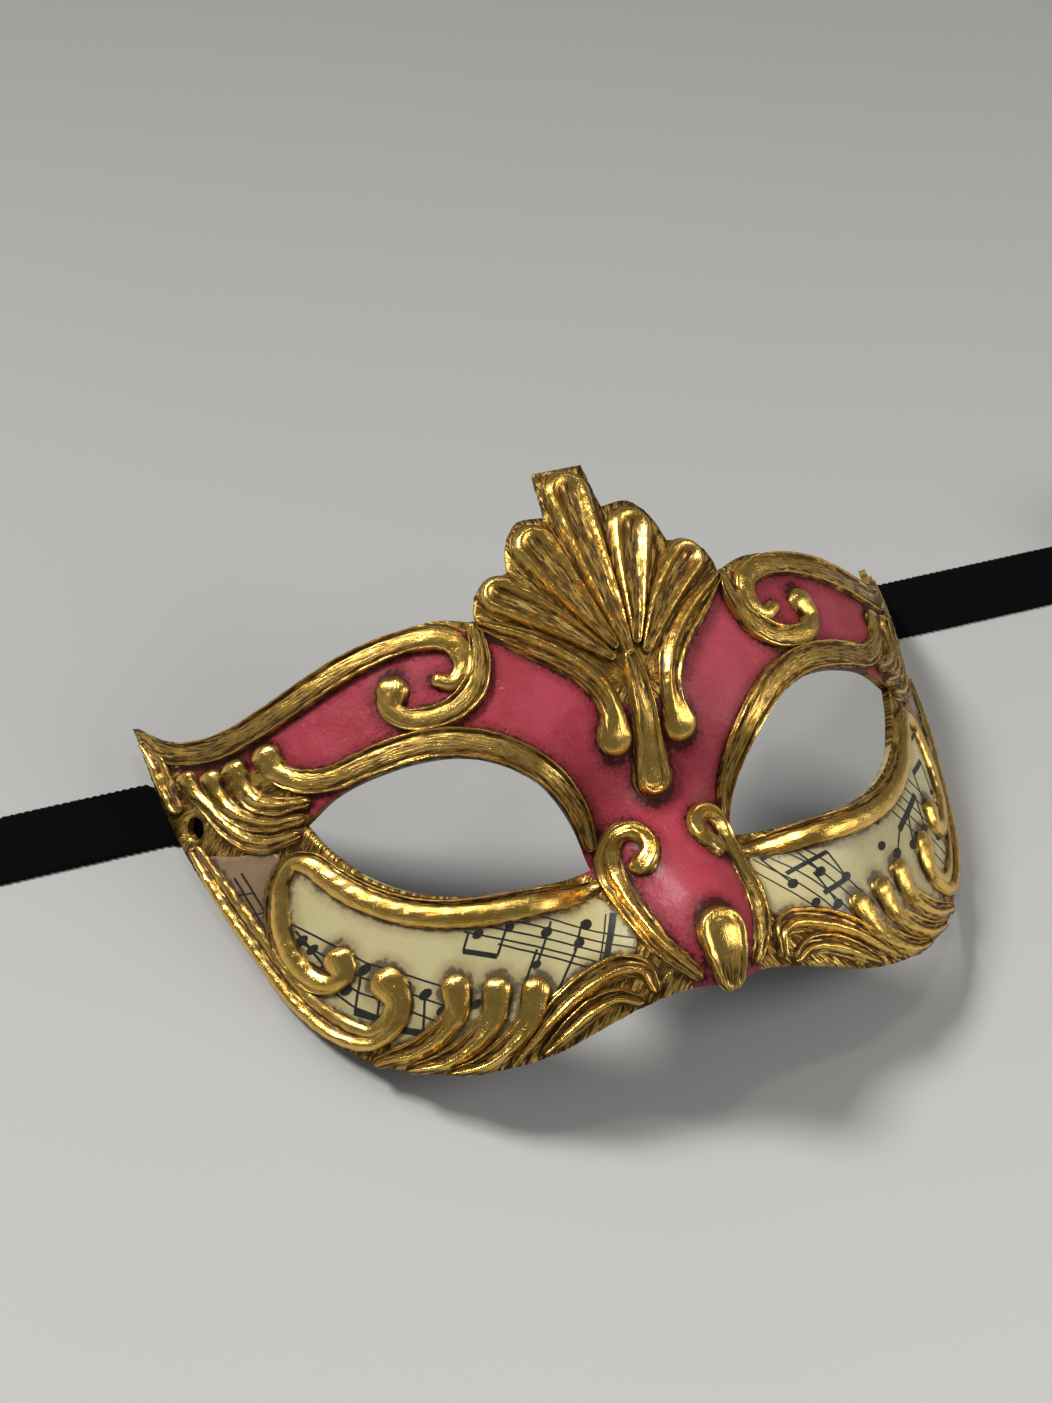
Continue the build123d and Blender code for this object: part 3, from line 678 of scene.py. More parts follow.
# ---- settings ------------------------------------------------------------------
def length_property(label, text, default):
    return bpy.props.FloatProperty(name=label, description=text, default=default, subtype="DISTANCE")


class MaskSizes(bpy.types.PropertyGroup):
    skin_grid: bpy.props.FloatProperty(
        name="Skin grid", description="Distance between the shell's points, in millimetres", default=1.15,
        min=0.6, max=4.0)
    paper_thickness: length_property("Paper thickness", "Thickness of the collage paper", 0.00015)
    ribbon_width: length_property("Ribbon width", "Width of the tie ribbon", 0.016)
    ribbon_length: length_property("Ribbon length", "Length of each ribbon from its knot", 0.45)
    ribbon_thickness: length_property("Ribbon thickness", "Thickness of the ribbon", 0.0004)
    picot_spacing: length_property("Picot spacing", "Distance between the thread loops on a ribbon edge", 0.0009)
    picot_size: length_property("Picot size", "Half the thickness of a thread loop", 0.00024)
    roll_pitch: length_property("Roll pitch", "Growth of the put-away roll in one turn", 0.001)


def colour_property(label, text, default):
    return bpy.props.FloatVectorProperty(name=label, description=text, default=default, size=4, min=0.0, max=1.0,
                                         subtype="COLOR")


class MaskColours(bpy.types.PropertyGroup):
    pink: colour_property("Pink", "Enamel of the brow and nose", (0.54, 0.072, 0.106, 1))
    pink_deep: colour_property("Deep pink", "Darker patches of the enamel", (0.44, 0.048, 0.070, 1))
    stain: colour_property("Stain", "Red-brown wash near the gilding", (0.17, 0.014, 0.012, 1))
    stain_dark: colour_property("Dark stain", "Wash right beside the gilding", (0.050, 0.006, 0.004, 1))
    leaf: colour_property("Gold leaf", "Bright leaf on the high places", (0.97, 0.64, 0.17, 1))
    leaf_deep: colour_property("Deep leaf", "Darker leaf patches", (0.82, 0.49, 0.095, 1))
    grime_warm: colour_property("Warm patina", "Brown glaze between leaf and shadow", (0.23, 0.100, 0.014, 1))
    grime: colour_property("Patina", "Darkest glaze in the recesses", (0.028, 0.012, 0.004, 1))
    paper: colour_property("Paper", "Music paper", (0.74, 0.65, 0.34, 1))
    paper_deep: colour_property("Aged paper", "Yellower patches of the paper", (0.63, 0.55, 0.265, 1))
    paper_stain: colour_property("Paper stain", "Glaze near the paper's edges", (0.25, 0.13, 0.045, 1))
    blush_deep: colour_property("Aged blush", "Browner patches of the temple paper", (0.24, 0.14, 0.07, 1))
    blush: colour_property("Blush paper", "Paper by the temple", (0.34, 0.235, 0.135, 1))


def look():
    colours = bpy.context.scene.mask_colours
    return {key: tuple(getattr(colours, key)) for key in MaskColours.__annotations__}


def finish(name):
    """One material of each name, made when it is first asked for."""
    if name not in bpy.data.materials:
        colours = look()
        makers = {
            "antique_gold_leaf": lambda: antique_gold(colours),
            "gilt_ground": lambda: gilt_ground(colours),
            "pink_enamel": lambda: pink_enamel(colours),
            "black_lining": lambda: black_lining(colours),
            "aged_music_paper": lambda: aged_paper(name, colours["paper"], colours["paper_deep"], colours),
            "aged_blush_paper": lambda: aged_paper(name, colours["blush"], colours["blush_deep"], colours),
            "printing_ink": printing_ink,
            "woven_ribbon": woven_ribbon,
            "pale_table": pale_table,
        }
        makers[name]()
    return bpy.data.materials[name]


# ---- shell ---------------------------------------------------------------------
AT_ONCE = 3000              # points whose distances are worked out together


def nearest(points, others, reach=0.0):
    """Distance from each point to the nearest of the others, less its reach, in parts that spare memory."""
    found = np.empty(len(points))
    for k in range(0, len(points), AT_ONCE):
        away = np.linalg.norm(points[k:k + AT_ONCE, None] - others[None], axis=2) - reach
        found[k:k + AT_ONCE] = away.min(1)
    return found


def rim(faces):
    """Edges that only one face uses, in the order in which they are met."""
    seen = {(f[k], f[(k + 1) % len(f)]): True for f in faces for k in range(len(f))}
    return [(i, j) for i, j in seen if (j, i) not in seen]


def gap_to_relief(plan):
    """Free distance from plan points to the nearest stroke, at least zero."""
    gap = np.full(len(plan), 99.0)
    for name, stroke in STROKES.items():
        for sign in (1,) if name in MIDDLE else (1, -1):
            line, widths, _, _, dome = stroke_line(stroke, sign)
            gap = np.minimum(gap, nearest(plan, line[::2], (widths * dome)[::2]))
    return np.maximum(gap, 0)


def triangles_in(outline, holes, spacing):
    """Triangles that fill an outline apart from its holes, on an even grid."""
    low, high = outline.min(0), outline.max(0)
    gx = np.arange(low[0] + spacing / 2, high[0], spacing)
    gu = np.arange(low[1] + spacing / 2, high[1], spacing)
    grid = np.array([(x + (k % 2) * spacing / 2, u) for k, u in enumerate(gu) for x in gx])
    keep = inside(grid, outline)
    for hole in holes:
        keep &= ~inside(grid, hole)
    grid = grid[keep]
    rings = [outline] + list(holes)
    ring_points = np.concatenate(rings)
    points = np.concatenate([ring_points, grid[nearest(grid, ring_points) > spacing * 0.5]])
    edges, start = [], 0
    for ring in rings:
        edges += [(start + i, start + (i + 1) % len(ring)) for i in range(len(ring))]
        start += len(ring)
    found = geometry.delaunay_2d_cdt([Vector(p) for p in points], edges, [], 0, 1e-5)
    plan = np.array([tuple(p) for p in found[0]])
    faces = np.array([f for f in found[2] if len(f) == 3])
    centres = plan[faces].mean(1)
    keep = inside(centres, outline)
    for hole in holes:
        keep &= ~inside(centres, hole)
    return plan, faces[keep]


def closed_sheet(plan, faces, top_offset, low_offset):
    """Vertices and faces of a sheet with both skins and the walls between them."""
    count = len(plan)
    points = np.concatenate([on_skin(plan, top_offset), on_skin(plan, low_offset)])
    a, b, c = plan[faces[:, 0]], plan[faces[:, 1]], plan[faces[:, 2]]
    turn = (b[:, 0] - a[:, 0]) * (c[:, 1] - a[:, 1]) - (b[:, 1] - a[:, 1]) * (c[:, 0] - a[:, 0])
    faces = np.where((turn > 0)[:, None], faces, faces[:, ::-1])
    walls = [(j, i, i + count, j + count) for i, j in rim(faces)]
    all_faces = [tuple(map(int, f)) for f in faces]
    all_faces += [tuple(map(int, f[::-1] + count)) for f in faces]
    all_faces += [tuple(map(int, w)) for w in walls]
    return points, all_faces, len(faces), walls


CREST_ROOT = [(0, -9), (5.4, -7), (9, -2.2), (12.5, 2.4), (17.3, 7.0), (21.6, 10.8), (27.6, 15.2)]
NOSE_SIDE = [(16, -38), (14.2, -44), (13.6, -50), (11.5, -56), (9, -60.5), (7.4, -65)]


def is_gilded(plan, outline):
    """Where the skin between the strokes is gilded and not painted pink."""
    x, u = np.abs(plan[:, 0]), plan[:, 1]
    root, side = np.array(CREST_ROOT), np.array(NOSE_SIDE)
    over_crest = (x < 27.6) & (u > np.interp(x, root[:, 0], root[:, 1]))
    cheek = (u < -37) & (x > np.interp(-u, -side[:, 1], side[:, 0]))
    temple = (x > 45) & (u < -10.5) | (x > 66.5) & (u < 2.6) | (x > 83)
    near_edge = nearest(plan, outline) < 1.9
    return over_crest | cheek | temple | near_edge & (u > -50)


def streak_flow(plan):
    """How far along and across the maker's strokes each point of the skin lies, in millimetres."""
    x, u = plan[:, 0], plan[:, 1]
    angle, radius = np.arctan2(x, np.maximum(u + 4, 0.5)), np.hypot(x, u + 4)
    slant = np.radians(-52)
    along = np.abs(x) * math.cos(slant) + u * math.sin(slant)
    across = -np.abs(x) * math.sin(slant) + u * math.cos(slant)
    crest = u > -4
    return np.where(crest, radius, along), np.where(crest, angle * 24, across)


class MASK_OT_shell(bpy.types.Operator):
    """Papier-mache shell with its eye holes and temple holes"""
    bl_idname = "mask.shell"
    bl_label = "Shell"

    def execute(self, context):
        sizes = context.scene.mask_sizes
        outline = mask_outline()
        holes = [eye_polygon(1), eye_polygon(-1), hole_polygon(1), hole_polygon(-1)]
        plan, faces = triangles_in(outline, holes, sizes.skin_grid)
        swell = 0.10 * grain(plan, 0.35, 4)
        points, all_faces, front, walls = closed_sheet(plan, faces, swell, swell - SHELL_THICKNESS)
        mesh = bpy.data.meshes.new("mask_shell_painted")
        mesh.from_pydata(points.tolist(), [], all_faces)
        gap = gap_to_relief(plan)
        keep_values(mesh, "gap", np.concatenate([gap, gap]))
        along, across = streak_flow(plan)
        keep_values(mesh, "along", np.concatenate([along, along]))
        keep_values(mesh, "across", np.concatenate([across, across]))
        pink, gilt, lining, paper = range(4)
        for name in ("pink_enamel", "gilt_ground", "black_lining", "aged_music_paper"):
            mesh.materials.append(finish(name))
        centres = plan[np.array(all_faces[:front])].mean(1)
        slots = np.where(is_gilded(centres, outline), gilt, pink)
        wall_centres = np.array([(plan[w[0]] + plan[w[1]]) / 2 for w in walls])
        upper_eye = (wall_centres[:, 1] > -37) & (np.abs(wall_centres[:, 0]) < 60) & (wall_centres[:, 1] < -4)
        above = wall_centres[:, 1] > -9 - np.abs(np.abs(wall_centres[:, 0]) - 47) * 0.75
        wall_slots = np.where(upper_eye & above, pink, np.where(upper_eye, paper, gilt))
        all_slots = np.concatenate([slots, np.full(front, lining), wall_slots])
        mesh.polygons.foreach_set("material_index", all_slots.astype(np.int32))
        mesh.polygons.foreach_set("use_smooth", [True] * (2 * front) + [False] * len(walls))
        mesh.update()
        piece = put("mask_shell_painted", mesh)
        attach(piece, "mask")
        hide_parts("mask_shell")
        return {"FINISHED"}


# ---- relief ----------------------------------------------------------------------
def make_relief(names):
    for name in names:
        middle = name in MIDDLE
        for side, sign in ((("middle", 1),) if middle else SIDES.items()):
            node = name if middle else f"{name}_{side}"
            seed = sum(map(ord, node)) % 17
            mesh = stroke_mesh(f"{node}_gilt", STROKES[name], sign, seed=seed)
            place(f"{node}_gilt", mesh, finish("antique_gold_leaf"), replaces=(node,))


class MASK_OT_brow_relief(bpy.types.Operator):
    """Brow bands, brow scrolls and the rims over the eyes"""
    bl_idname = "mask.brow_relief"
    bl_label = "Brow relief"

    def execute(self, context):
        make_relief(("brow_band", "brow_scroll", "upper_eye_rim"))
        return {"FINISHED"}


class MASK_OT_temple_relief(bpy.types.Operator):
    """Temple commas and the rods on the temple edge"""
    bl_idname = "mask.temple_relief"
    bl_label = "Temple relief"

    def execute(self, context):
        make_relief(("temple_comma_upper", "temple_comma_middle", "temple_comma_lower", "temple_trim"))
        return {"FINISHED"}


class MASK_OT_crest(bpy.types.Operator):
    """Fan of hollow lobes with its stems and pendant"""
    bl_idname = "mask.crest"
    bl_label = "Crest"

    def execute(self, context):
        make_relief(("crest_lobe_center", "crest_lobe_upper", "crest_lobe_lower", "crest_stem", "crest_pendant"))
        return {"FINISHED"}


class MASK_OT_cheek_relief(bpy.types.Operator):
    """Lower eye rims, side borders, cheek commas and leaves, and the nose's scrolls and drop"""
    bl_idname = "mask.cheek_relief"
    bl_label = "Cheek and nose relief"

    def execute(self, context):
        make_relief(("lower_eye_rim", "side_border", "cheek_comma_outer", "cheek_comma_middle",
                     "cheek_comma_inner", "cheek_leaf_upper", "cheek_leaf_lower", "nose_scroll", "nose_drop"))
        return {"FINISHED"}


# ---- paper collage ------------------------------------------------------------------
MUSIC_PANEL = [(18.4, -41.6), (30, -41.6), (42, -40.2), (52, -36.6), (60, -30), (66, -21.4), (70, -18.4),
               (74, -24), (75.2, -33), (74.6, -42.4), (69.5, -51), (63, -58), (53, -62.4), (42, -64), (33, -62),
               (26, -59.4), (18.6, -57.8), (14.4, -54), (14.8, -46)]
TEMPLE_PATCH = [(83.4, -9.8), (78.4, -12.4), (72.0, -15.4), (73.4, -22), (75.0, -29), (75.6, -36.5), (78.2, -33.6),
                (80.9, -24), (82.8, -16)]
STAFF_LINE = 0.17
PAPER_BED = 0.02            # underside of the paper over the painted skin
INK_THICKNESS = 0.05
NOTATION = {
    "left": {
        "temple": [
            (-80.6, -17.0, -77.4, -33.0), (-79.4, -16.4, -76.4, -31.0), (-78.2, -16.0, -75.4, -29.0),
            (-81.8, -17.6, -79.0, -30.0), (-79.6, -20.0, -77.0, -20.8), (-78.6, -24.8, -76.0, -25.4)],
        "lines": [
            (-33.9, -42.2, -13.6, -53.2), (-38.2, -42.2, -14.2, -55.2), (-42.3, -42.2, -14.6, -57.4),
            (-45.4, -42.4, -17.8, -58.2), (-40.2, -46.6, -21.0, -58.2),
            (-73.6, -28.6, -62.8, -42.1), (-62.8, -42.1, -47.0, -54.8),
            (-74.6, -30.6, -64.0, -44.6), (-64.0, -44.6, -50.0, -56.6),
            (-75.2, -33.0, -65.2, -47.0), (-65.2, -47.0, -52.5, -58.6),
            (-75.0, -36.0, -66.4, -49.6), (-66.4, -49.6, -56.0, -59.6)],
        "strokes": [
            (-44.7, -42.7, -46.5, -45.9, 0.20), (-46.5, -45.9, -40.9, -48.8, 0.49),
            (-37.6, -43.4, -40.9, -48.8, 0.20), (-33.6, -49.7, -37.5, -55.6, 0.20),
            (-24.9, -50.2, -31.7, -58.4, 0.20), (-15.6, -46.6, -21.0, -55.2, 0.61),
            (-17.0, -46.4, -22.2, -55.0, 0.14), (-22.6, -46.6, -26.6, -52.0, 0.20),
            (-29.4, -45.2, -34.6, -53.0, 0.20), (-60.2, -29.4, -58.6, -32.4, 0.43),
            (-58.6, -32.4, -55.6, -34.4, 0.43), (-72.4, -31.2, -69.6, -39.4, 0.20),
            (-69.6, -39.4, -66.0, -43.8, 0.58), (-66.8, -37.6, -68.4, -44.2, 0.20),
            (-63.6, -42.6, -66.6, -50.4, 0.20), (-60.6, -45.6, -63.4, -53.0, 0.20),
            (-66.6, -50.4, -63.4, -53.0, 0.61), (-57.6, -48.4, -60.2, -56.6, 0.20),
            (-54.4, -50.6, -56.6, -58.6, 0.20), (-60.2, -56.6, -56.6, -58.6, 0.61),
            (-76.2, -34.4, -66.9, -48.8, 0.17), (-73.0, -40.5, -73.7, -44.6, 0.17)],
        "heads": [(-21.9, -47.4, 1.26), (-25.1, -50.7, 1.12), (-30.9, -47.0, 1.12), (-34.4, -52.5, 0.85),
                  (-43.2, -43.6, 0.98), (-37.4, -44.2, 0.84), (-72.0, -33.5, 1.12), (-70.6, -35.9, 0.98),
                  (-66.0, -38.6, 1.12), (-67.0, -45.9, 0.98), (-63.4, -43.2, 1.12), (-60.4, -46.4, 1.12),
                  (-57.6, -49.0, 1.12), (-54.6, -51.6, 1.12), (-52.6, -55.6, 0.98), (-46.6, -56.4, 0.98)],
    },
    "right": {
        "temple": [
            (80.6, -17.0, 77.4, -33.0), (79.4, -16.4, 76.4, -31.0), (78.2, -16.0, 75.4, -29.0)],
        "lines": [
            (17.2, -42.0, 33.5, -62.4), (20.2, -42.0, 35.2, -61.0), (23.4, -42.2, 37.6, -59.6),
            (26.4, -42.4, 39.6, -57.6), (15.2, -44.2, 30.0, -61.6),
            (50.4, -37.6, 66.4, -51.6), (52.6, -36.2, 68.6, -49.6), (54.8, -34.6, 70.4, -47.4),
            (57.0, -32.8, 72.0, -45.0), (59.0, -30.8, 73.6, -42.4)],
        "strokes": [
            (19.4, -43.2, 25.0, -41.8, 0.49), (19.4, -43.2, 22.4, -49.6, 0.20),
            (25.0, -41.8, 28.6, -48.6, 0.20), (22.4, -47.6, 31.6, -45.4, 0.43),
            (31.6, -45.4, 34.0, -50.8, 0.20), (28.0, -53.4, 33.6, -51.8, 0.52),
            (27.4, -48.8, 30.2, -55.8, 0.20), (53.2, -43.6, 62.6, -36.4, 0.67),
            (53.2, -43.6, 50.6, -48.0, 0.20), (57.8, -40.0, 56.6, -46.6, 0.20),
            (62.6, -36.4, 62.6, -43.4, 0.20), (64.8, -31.6, 70.2, -28.6, 0.58),
            (64.8, -31.6, 65.6, -38.4, 0.20), (70.2, -28.6, 70.8, -35.2, 0.20),
            (46.6, -41.8, 49.6, -38.8, 0.49), (66.6, -24.8, 71.6, -22.4, 0.43)],
        "heads": [(22.6, -50.0, 1.12), (28.8, -49.0, 1.12), (34.2, -51.2, 1.12), (30.4, -56.2, 1.12),
                  (25.6, -54.8, 0.98), (50.2, -48.4, 1.26), (56.4, -47.0, 1.26), (62.4, -43.8, 1.26),
                  (65.8, -38.8, 0.85), (71.0, -35.6, 0.85), (67.4, -45.6, 1.12), (46.2, -46.4, 1.12)],
    },
}


def paper_mesh(name, outline_points, sign, thickness, spacing):
    outline, _ = smooth_line(flipped(outline_points, sign), closed=True, spacing=0.9)
    plan, faces = triangles_in(outline, [], spacing)
    ripple = 0.03 * grain(plan, 1.1, 2)
    points, all_faces, front, _ = closed_sheet(plan, faces, 0.14 + thickness + ripple, PAPER_BED)
    mesh = bpy.data.meshes.new(name)
    mesh.from_pydata(points.tolist(), [], all_faces)
    gap = gap_to_relief(plan)
    keep_values(mesh, "gap", np.concatenate([gap, gap]))
    mesh.polygons.foreach_set("use_smooth", [k < 2 * front for k in range(len(all_faces))])
    mesh.update()
    return mesh, outline


def ink_patch(plan, faces, points, all_faces, level):
    start = len(points)
    points.extend(on_skin(plan, level).tolist())
    points.extend(on_skin(plan, level - INK_THICKNESS).tolist())
    count = len(plan)
    for f in faces:
        all_faces.append(tuple(start + int(k) for k in f))
        all_faces.append(tuple(start + count + int(k) for k in f[::-1]))
    for i, j in rim(faces):
        all_faces.append((start + int(j), start + int(i), start + count + int(i), start + count + int(j)))


def ink_line(a, b, half, points, all_faces, level, panel):
    a, b = np.array(a, float), np.array(b, float)
    length = np.linalg.norm(b - a)
    steps = max(2, int(length / 0.8))
    ahead = (b - a) / length
    across = np.array([-ahead[1], ahead[0]])
    centre = np.array([a + (b - a) * k / steps for k in range(steps + 1)])
    centre += across * (0.05 * grain(centre, 0.7, 6))[:, None]
    within = inside(centre, panel)
    run = []
    for k in range(steps + 1):
        if within[k]:
            run.append(centre[k])
        if (not within[k] or k == steps) and len(run) > 1:
            n = len(run)
            plan = np.concatenate([np.array(run) - across * half, np.array(run) + across * half])
            faces = [(i, i + 1, n + i + 1, n + i) for i in range(n - 1)]
            ink_patch(plan, faces, points, all_faces, level)
            run = []
        elif not within[k]:
            run = []


def ink_head(x, u, radius, points, all_faces, level):
    angles = np.linspace(0, 2 * math.pi, 12, endpoint=False)
    ring = np.stack([np.cos(angles) * radius * 1.15, np.sin(angles) * radius * 0.8], 1)
    turn = math.radians(25)
    spin = np.array([[math.cos(turn), -math.sin(turn)], [math.sin(turn), math.cos(turn)]])
    plan = np.concatenate([[[x, u]], ring @ spin.T + [x, u]])
    faces = [(0, k + 1, (k + 1) % 12 + 1) for k in range(12)]
    ink_patch(plan, faces, points, all_faces, level)


class MASK_OT_collage(bpy.types.Operator):
    """Music paper on the cheeks, with its printed notation, and the blush paper by the temples"""
    bl_idname = "mask.collage"
    bl_label = "Paper collage"

    def execute(self, context):
        thickness = context.scene.mask_sizes.paper_thickness / MM
        for side, sign in SIDES.items():
            mesh, panel = paper_mesh(f"music_paper_{side}_sheet", MUSIC_PANEL, sign, thickness, 1.3)
            place(f"music_paper_{side}_sheet", mesh, finish("aged_music_paper"), replaces=(f"music_paper_{side}",))
            mesh, patch = paper_mesh(f"temple_paper_{side}_sheet", TEMPLE_PATCH, sign, thickness, 0.9)
            place(f"temple_paper_{side}_sheet", mesh, finish("aged_blush_paper"),
                  replaces=(f"temple_paper_{side}",))
            points, all_faces = [], []
            level = 0.16 + thickness + 0.03
            for sheet, key in ((panel, "lines"), (patch, "temple")):
                for row in NOTATION[side][key]:
                    ink_line(row[:2], row[2:], STAFF_LINE, points, all_faces, level, sheet)
            for row in NOTATION[side]["strokes"]:
                ink_line(row[:2], row[2:4], row[4], points, all_faces, level + 0.02, panel)
            for x, u, radius in NOTATION[side]["heads"]:
                ink_head(x, u, radius, points, all_faces, level + 0.03)
            ink = bpy.data.meshes.new(f"notation_{side}")
            ink.from_pydata(points, [], all_faces)
            recalculate(ink)
            place(f"notation_{side}", ink, finish("printing_ink"))
        return {"FINISHED"}


# ---- ribbons ---------------------------------------------------------------------------
def ribbon_path(side, sizes):
    """Side view of a ribbon, metres: distance out from the mask's middle and height, knot first."""
    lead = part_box(f"ribbon_lead_{side}")
    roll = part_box(f"ribbon_roll_{side}")
    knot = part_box(f"ribbon_knot_{side}")
    inner = min(abs(lead[0][0]), abs(lead[1][0]))
    centre = (abs(roll[0][0]) + abs(roll[1][0])) / 2
    outer_radius = (roll[1][2] - roll[0][2]) / 2 - sizes.ribbon_thickness
    rest = sizes.ribbon_thickness * 0.6
    start = [(inner + 0.0004, knot[0][2] + 0.0006), (inner + 0.0035, 0.0013), (inner + 0.0075, rest + 0.0002)]
    flat = [(inner + 0.0115 + k * 0.004, rest) for k in range(int((centre - inner - 0.014) / 0.004))]
    path = [np.array(p) for p in start + flat + [(centre - 0.001, rest)]]
    used = sum(np.linalg.norm(path[i + 1] - path[i]) for i in range(len(path) - 1))
    spiral_centre = np.array([centre, rest + outer_radius])
    angle, radius = -math.pi / 2, outer_radius
    while used < sizes.ribbon_length and radius > 0.003:
        step = 0.0012 / radius
        angle += step
        radius -= sizes.roll_pitch * step / (2 * math.pi)
        point = spiral_centre + radius * np.array([math.cos(angle), math.sin(angle)])
        used += np.linalg.norm(point - path[-1])
        path.append(point)
    return np.array(path), used


def ribbon_mesh(side, sizes):
    """Flat woven band with fine picot edges along its side view."""
    path, length = ribbon_path(side, sizes)
    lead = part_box(f"ribbon_lead_{side}")
    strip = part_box(f"ribbon_strip_{side}")
    middle = (strip[0][1] + strip[1][1]) / 2
    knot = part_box(f"ribbon_knot_{side}")
    knot_middle = (knot[0][1] + knot[1][1]) / 2
    sign = SIDES[side]
    half = sizes.ribbon_width / 2
    runs = np.concatenate([[0], np.cumsum(np.linalg.norm(np.diff(path, axis=0), axis=1))])
    stations = np.arange(0, runs[-1], 0.0008)
    out = np.interp(stations, runs, path[:, 0])
    up = np.interp(stations, runs, path[:, 1])
    ahead = np.gradient(np.stack([out, up], 1), axis=0)
    ahead /= np.linalg.norm(ahead, axis=1)[:, None]
    normal = np.stack([-ahead[:, 1], ahead[:, 0]], 1)
    opening = np.clip(stations / 0.011, 0, 1)
    opening = opening * opening * (3 - 2 * opening)
    columns = 16
    v = np.linspace(-1, 1, columns + 1)
    points, along, across = [], [], []
    for layer in (0.5, -0.5):
        for k, s in enumerate(stations):
            picot = 0.00016 * (1 if k % 2 else -1)
            width = half * (0.40 + 0.60 * opening[k])
            centre = knot_middle + (middle - knot_middle) * opening[k]
            pleat = (1 - opening[k]) * 0.0005
            for t in v:
                edge = picot if abs(t) == 1 else 0
                lift = layer * sizes.ribbon_thickness * (0.7 if abs(t) == 1 else 1) + pleat * math.cos(t * 9)
                y = centre + t * (width + edge)
                points.append((sign * (out[k] + normal[k][0] * lift), y, up[k] + normal[k][1] * lift))
                along.append(s * 1000 * 12)
                across.append(t * half * 1000 * 12)
    rows, wide = len(stations), columns + 1
    count = rows * wide
    index = np.arange(count).reshape(rows, wide)
    faces = []
    for i in range(rows - 1):
        for j in range(columns):
            a, b, c, d = (int(x) for x in (index[i, j], index[i, j + 1], index[i + 1, j + 1], index[i + 1, j]))
            faces.append((a, b, c, d))
            faces.append((a + count, d + count, c + count, b + count))
        for j in (0, columns):
            a, d = int(index[i, j]), int(index[i + 1, j])
            faces.append((a, d, d + count, a + count))
    for i in (0, rows - 1):
        for j in range(columns):
            a, b = int(index[i, j]), int(index[i, j + 1])
            faces.append((a, b, b + count, a + count))
    mesh = bpy.data.meshes.new(f"ribbon_{side}_band")
    mesh.from_pydata(points, [], faces)
    keep_values(mesh, "along", along)
    keep_values(mesh, "across", across)
    mesh.polygons.foreach_set("use_smooth", [True] * len(faces))
    mesh.update()
    recalculate(mesh)
    return mesh, length


def picot_tree():
    """Node tree that sets small thread loops along every line it is given."""
    tree = bpy.data.node_groups.new("ribbon_picots", "GeometryNodeTree")
    for label, kind in (("Edges", "NodeSocketGeometry"), ("Spacing", "NodeSocketFloat"),
                        ("Loop Size", "NodeSocketFloat"), ("Smallest", "NodeSocketFloat"),
                        ("Seed", "NodeSocketInt"), ("Thread", "NodeSocketMaterial")):
        tree.interface.new_socket(label, in_out="INPUT", socket_type=kind)
    tree.interface.new_socket("Picots", in_out="OUTPUT", socket_type="NodeSocketGeometry")
    n = Nodes(tree)
    given = tree.nodes.new("NodeGroupInput").outputs
    lines = n.add("GeometryNodeMeshToCurve", None, Mesh=given["Edges"])
    even = n.add("GeometryNodeResampleCurve", {"mode": "LENGTH"}, Curve=lines, Length=given["Spacing"])
    loop = n.add("GeometryNodeMeshIcoSphere", None, Radius=given["Loop Size"], Subdivisions=1)
    sizes = n.add("FunctionNodeRandomValue", {"data_type": "FLOAT"})
    n.join(given["Smallest"], sizes.inputs[2])
    n.join(1.0, sizes.inputs[3])
    n.join(given["Seed"], sizes.inputs[8])
    loops = n.add("GeometryNodeInstanceOnPoints", None, Points=even, Instance=loop.outputs[0],
                  Scale=sizes.outputs[1])
    real = n.add("GeometryNodeRealizeInstances", None, Geometry=loops)
    painted = n.add("GeometryNodeSetMaterial", None, Geometry=real, Material=given["Thread"])
    end = tree.nodes.new("NodeGroupOutput")
    tree.links.new(painted.outputs[0], end.inputs["Picots"])
    return tree


def picot_piece(side, sizes):
    """Row of picots on both edges of a ribbon, past the place where it bends."""
    path, _ = ribbon_path(side, sizes)
    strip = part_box(f"ribbon_strip_{side}")
    middle, half = (strip[0][1] + strip[1][1]) / 2, sizes.ribbon_width / 2
    run = path[6:]
    points = [(SIDES[side] * x, middle + way * half, z) for way in (-1, 1) for x, z in run]
    edges = [(k, k + 1) for k in range(2 * len(run) - 1) if k != len(run) - 1]
    lines = bpy.data.meshes.new(f"ribbon_{side}_edges")
    lines.from_pydata(points, edges, [])
    guide = put(f"ribbon_{side}_edges", lines)
    tree = bpy.data.node_groups.get("ribbon_picots") or picot_tree()
    step = guide.modifiers.new("picots", "NODES")
    step.node_group = tree
    values = {"Spacing": sizes.picot_spacing, "Loop Size": sizes.picot_size, "Smallest": 0.7,
              "Seed": 3 if side == "left" else 8, "Thread": finish("woven_ribbon")}
    for socket in tree.interface.items_tree:
        if socket.in_out == "INPUT" and socket.name in values:
            step[socket.identifier] = values[socket.name]
    bpy.context.view_layer.update()
    made = bpy.data.meshes.new_from_object(guide.evaluated_get(bpy.context.evaluated_depsgraph_get()))
    made.name = f"ribbon_{side}_picots"
    bpy.data.objects.remove(guide)
    if not made.polygons:
        raise RuntimeError("the ribbon edge came out empty")
    piece = put(made.name, made)
    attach(piece, f"ribbon_{side}")
    return piece


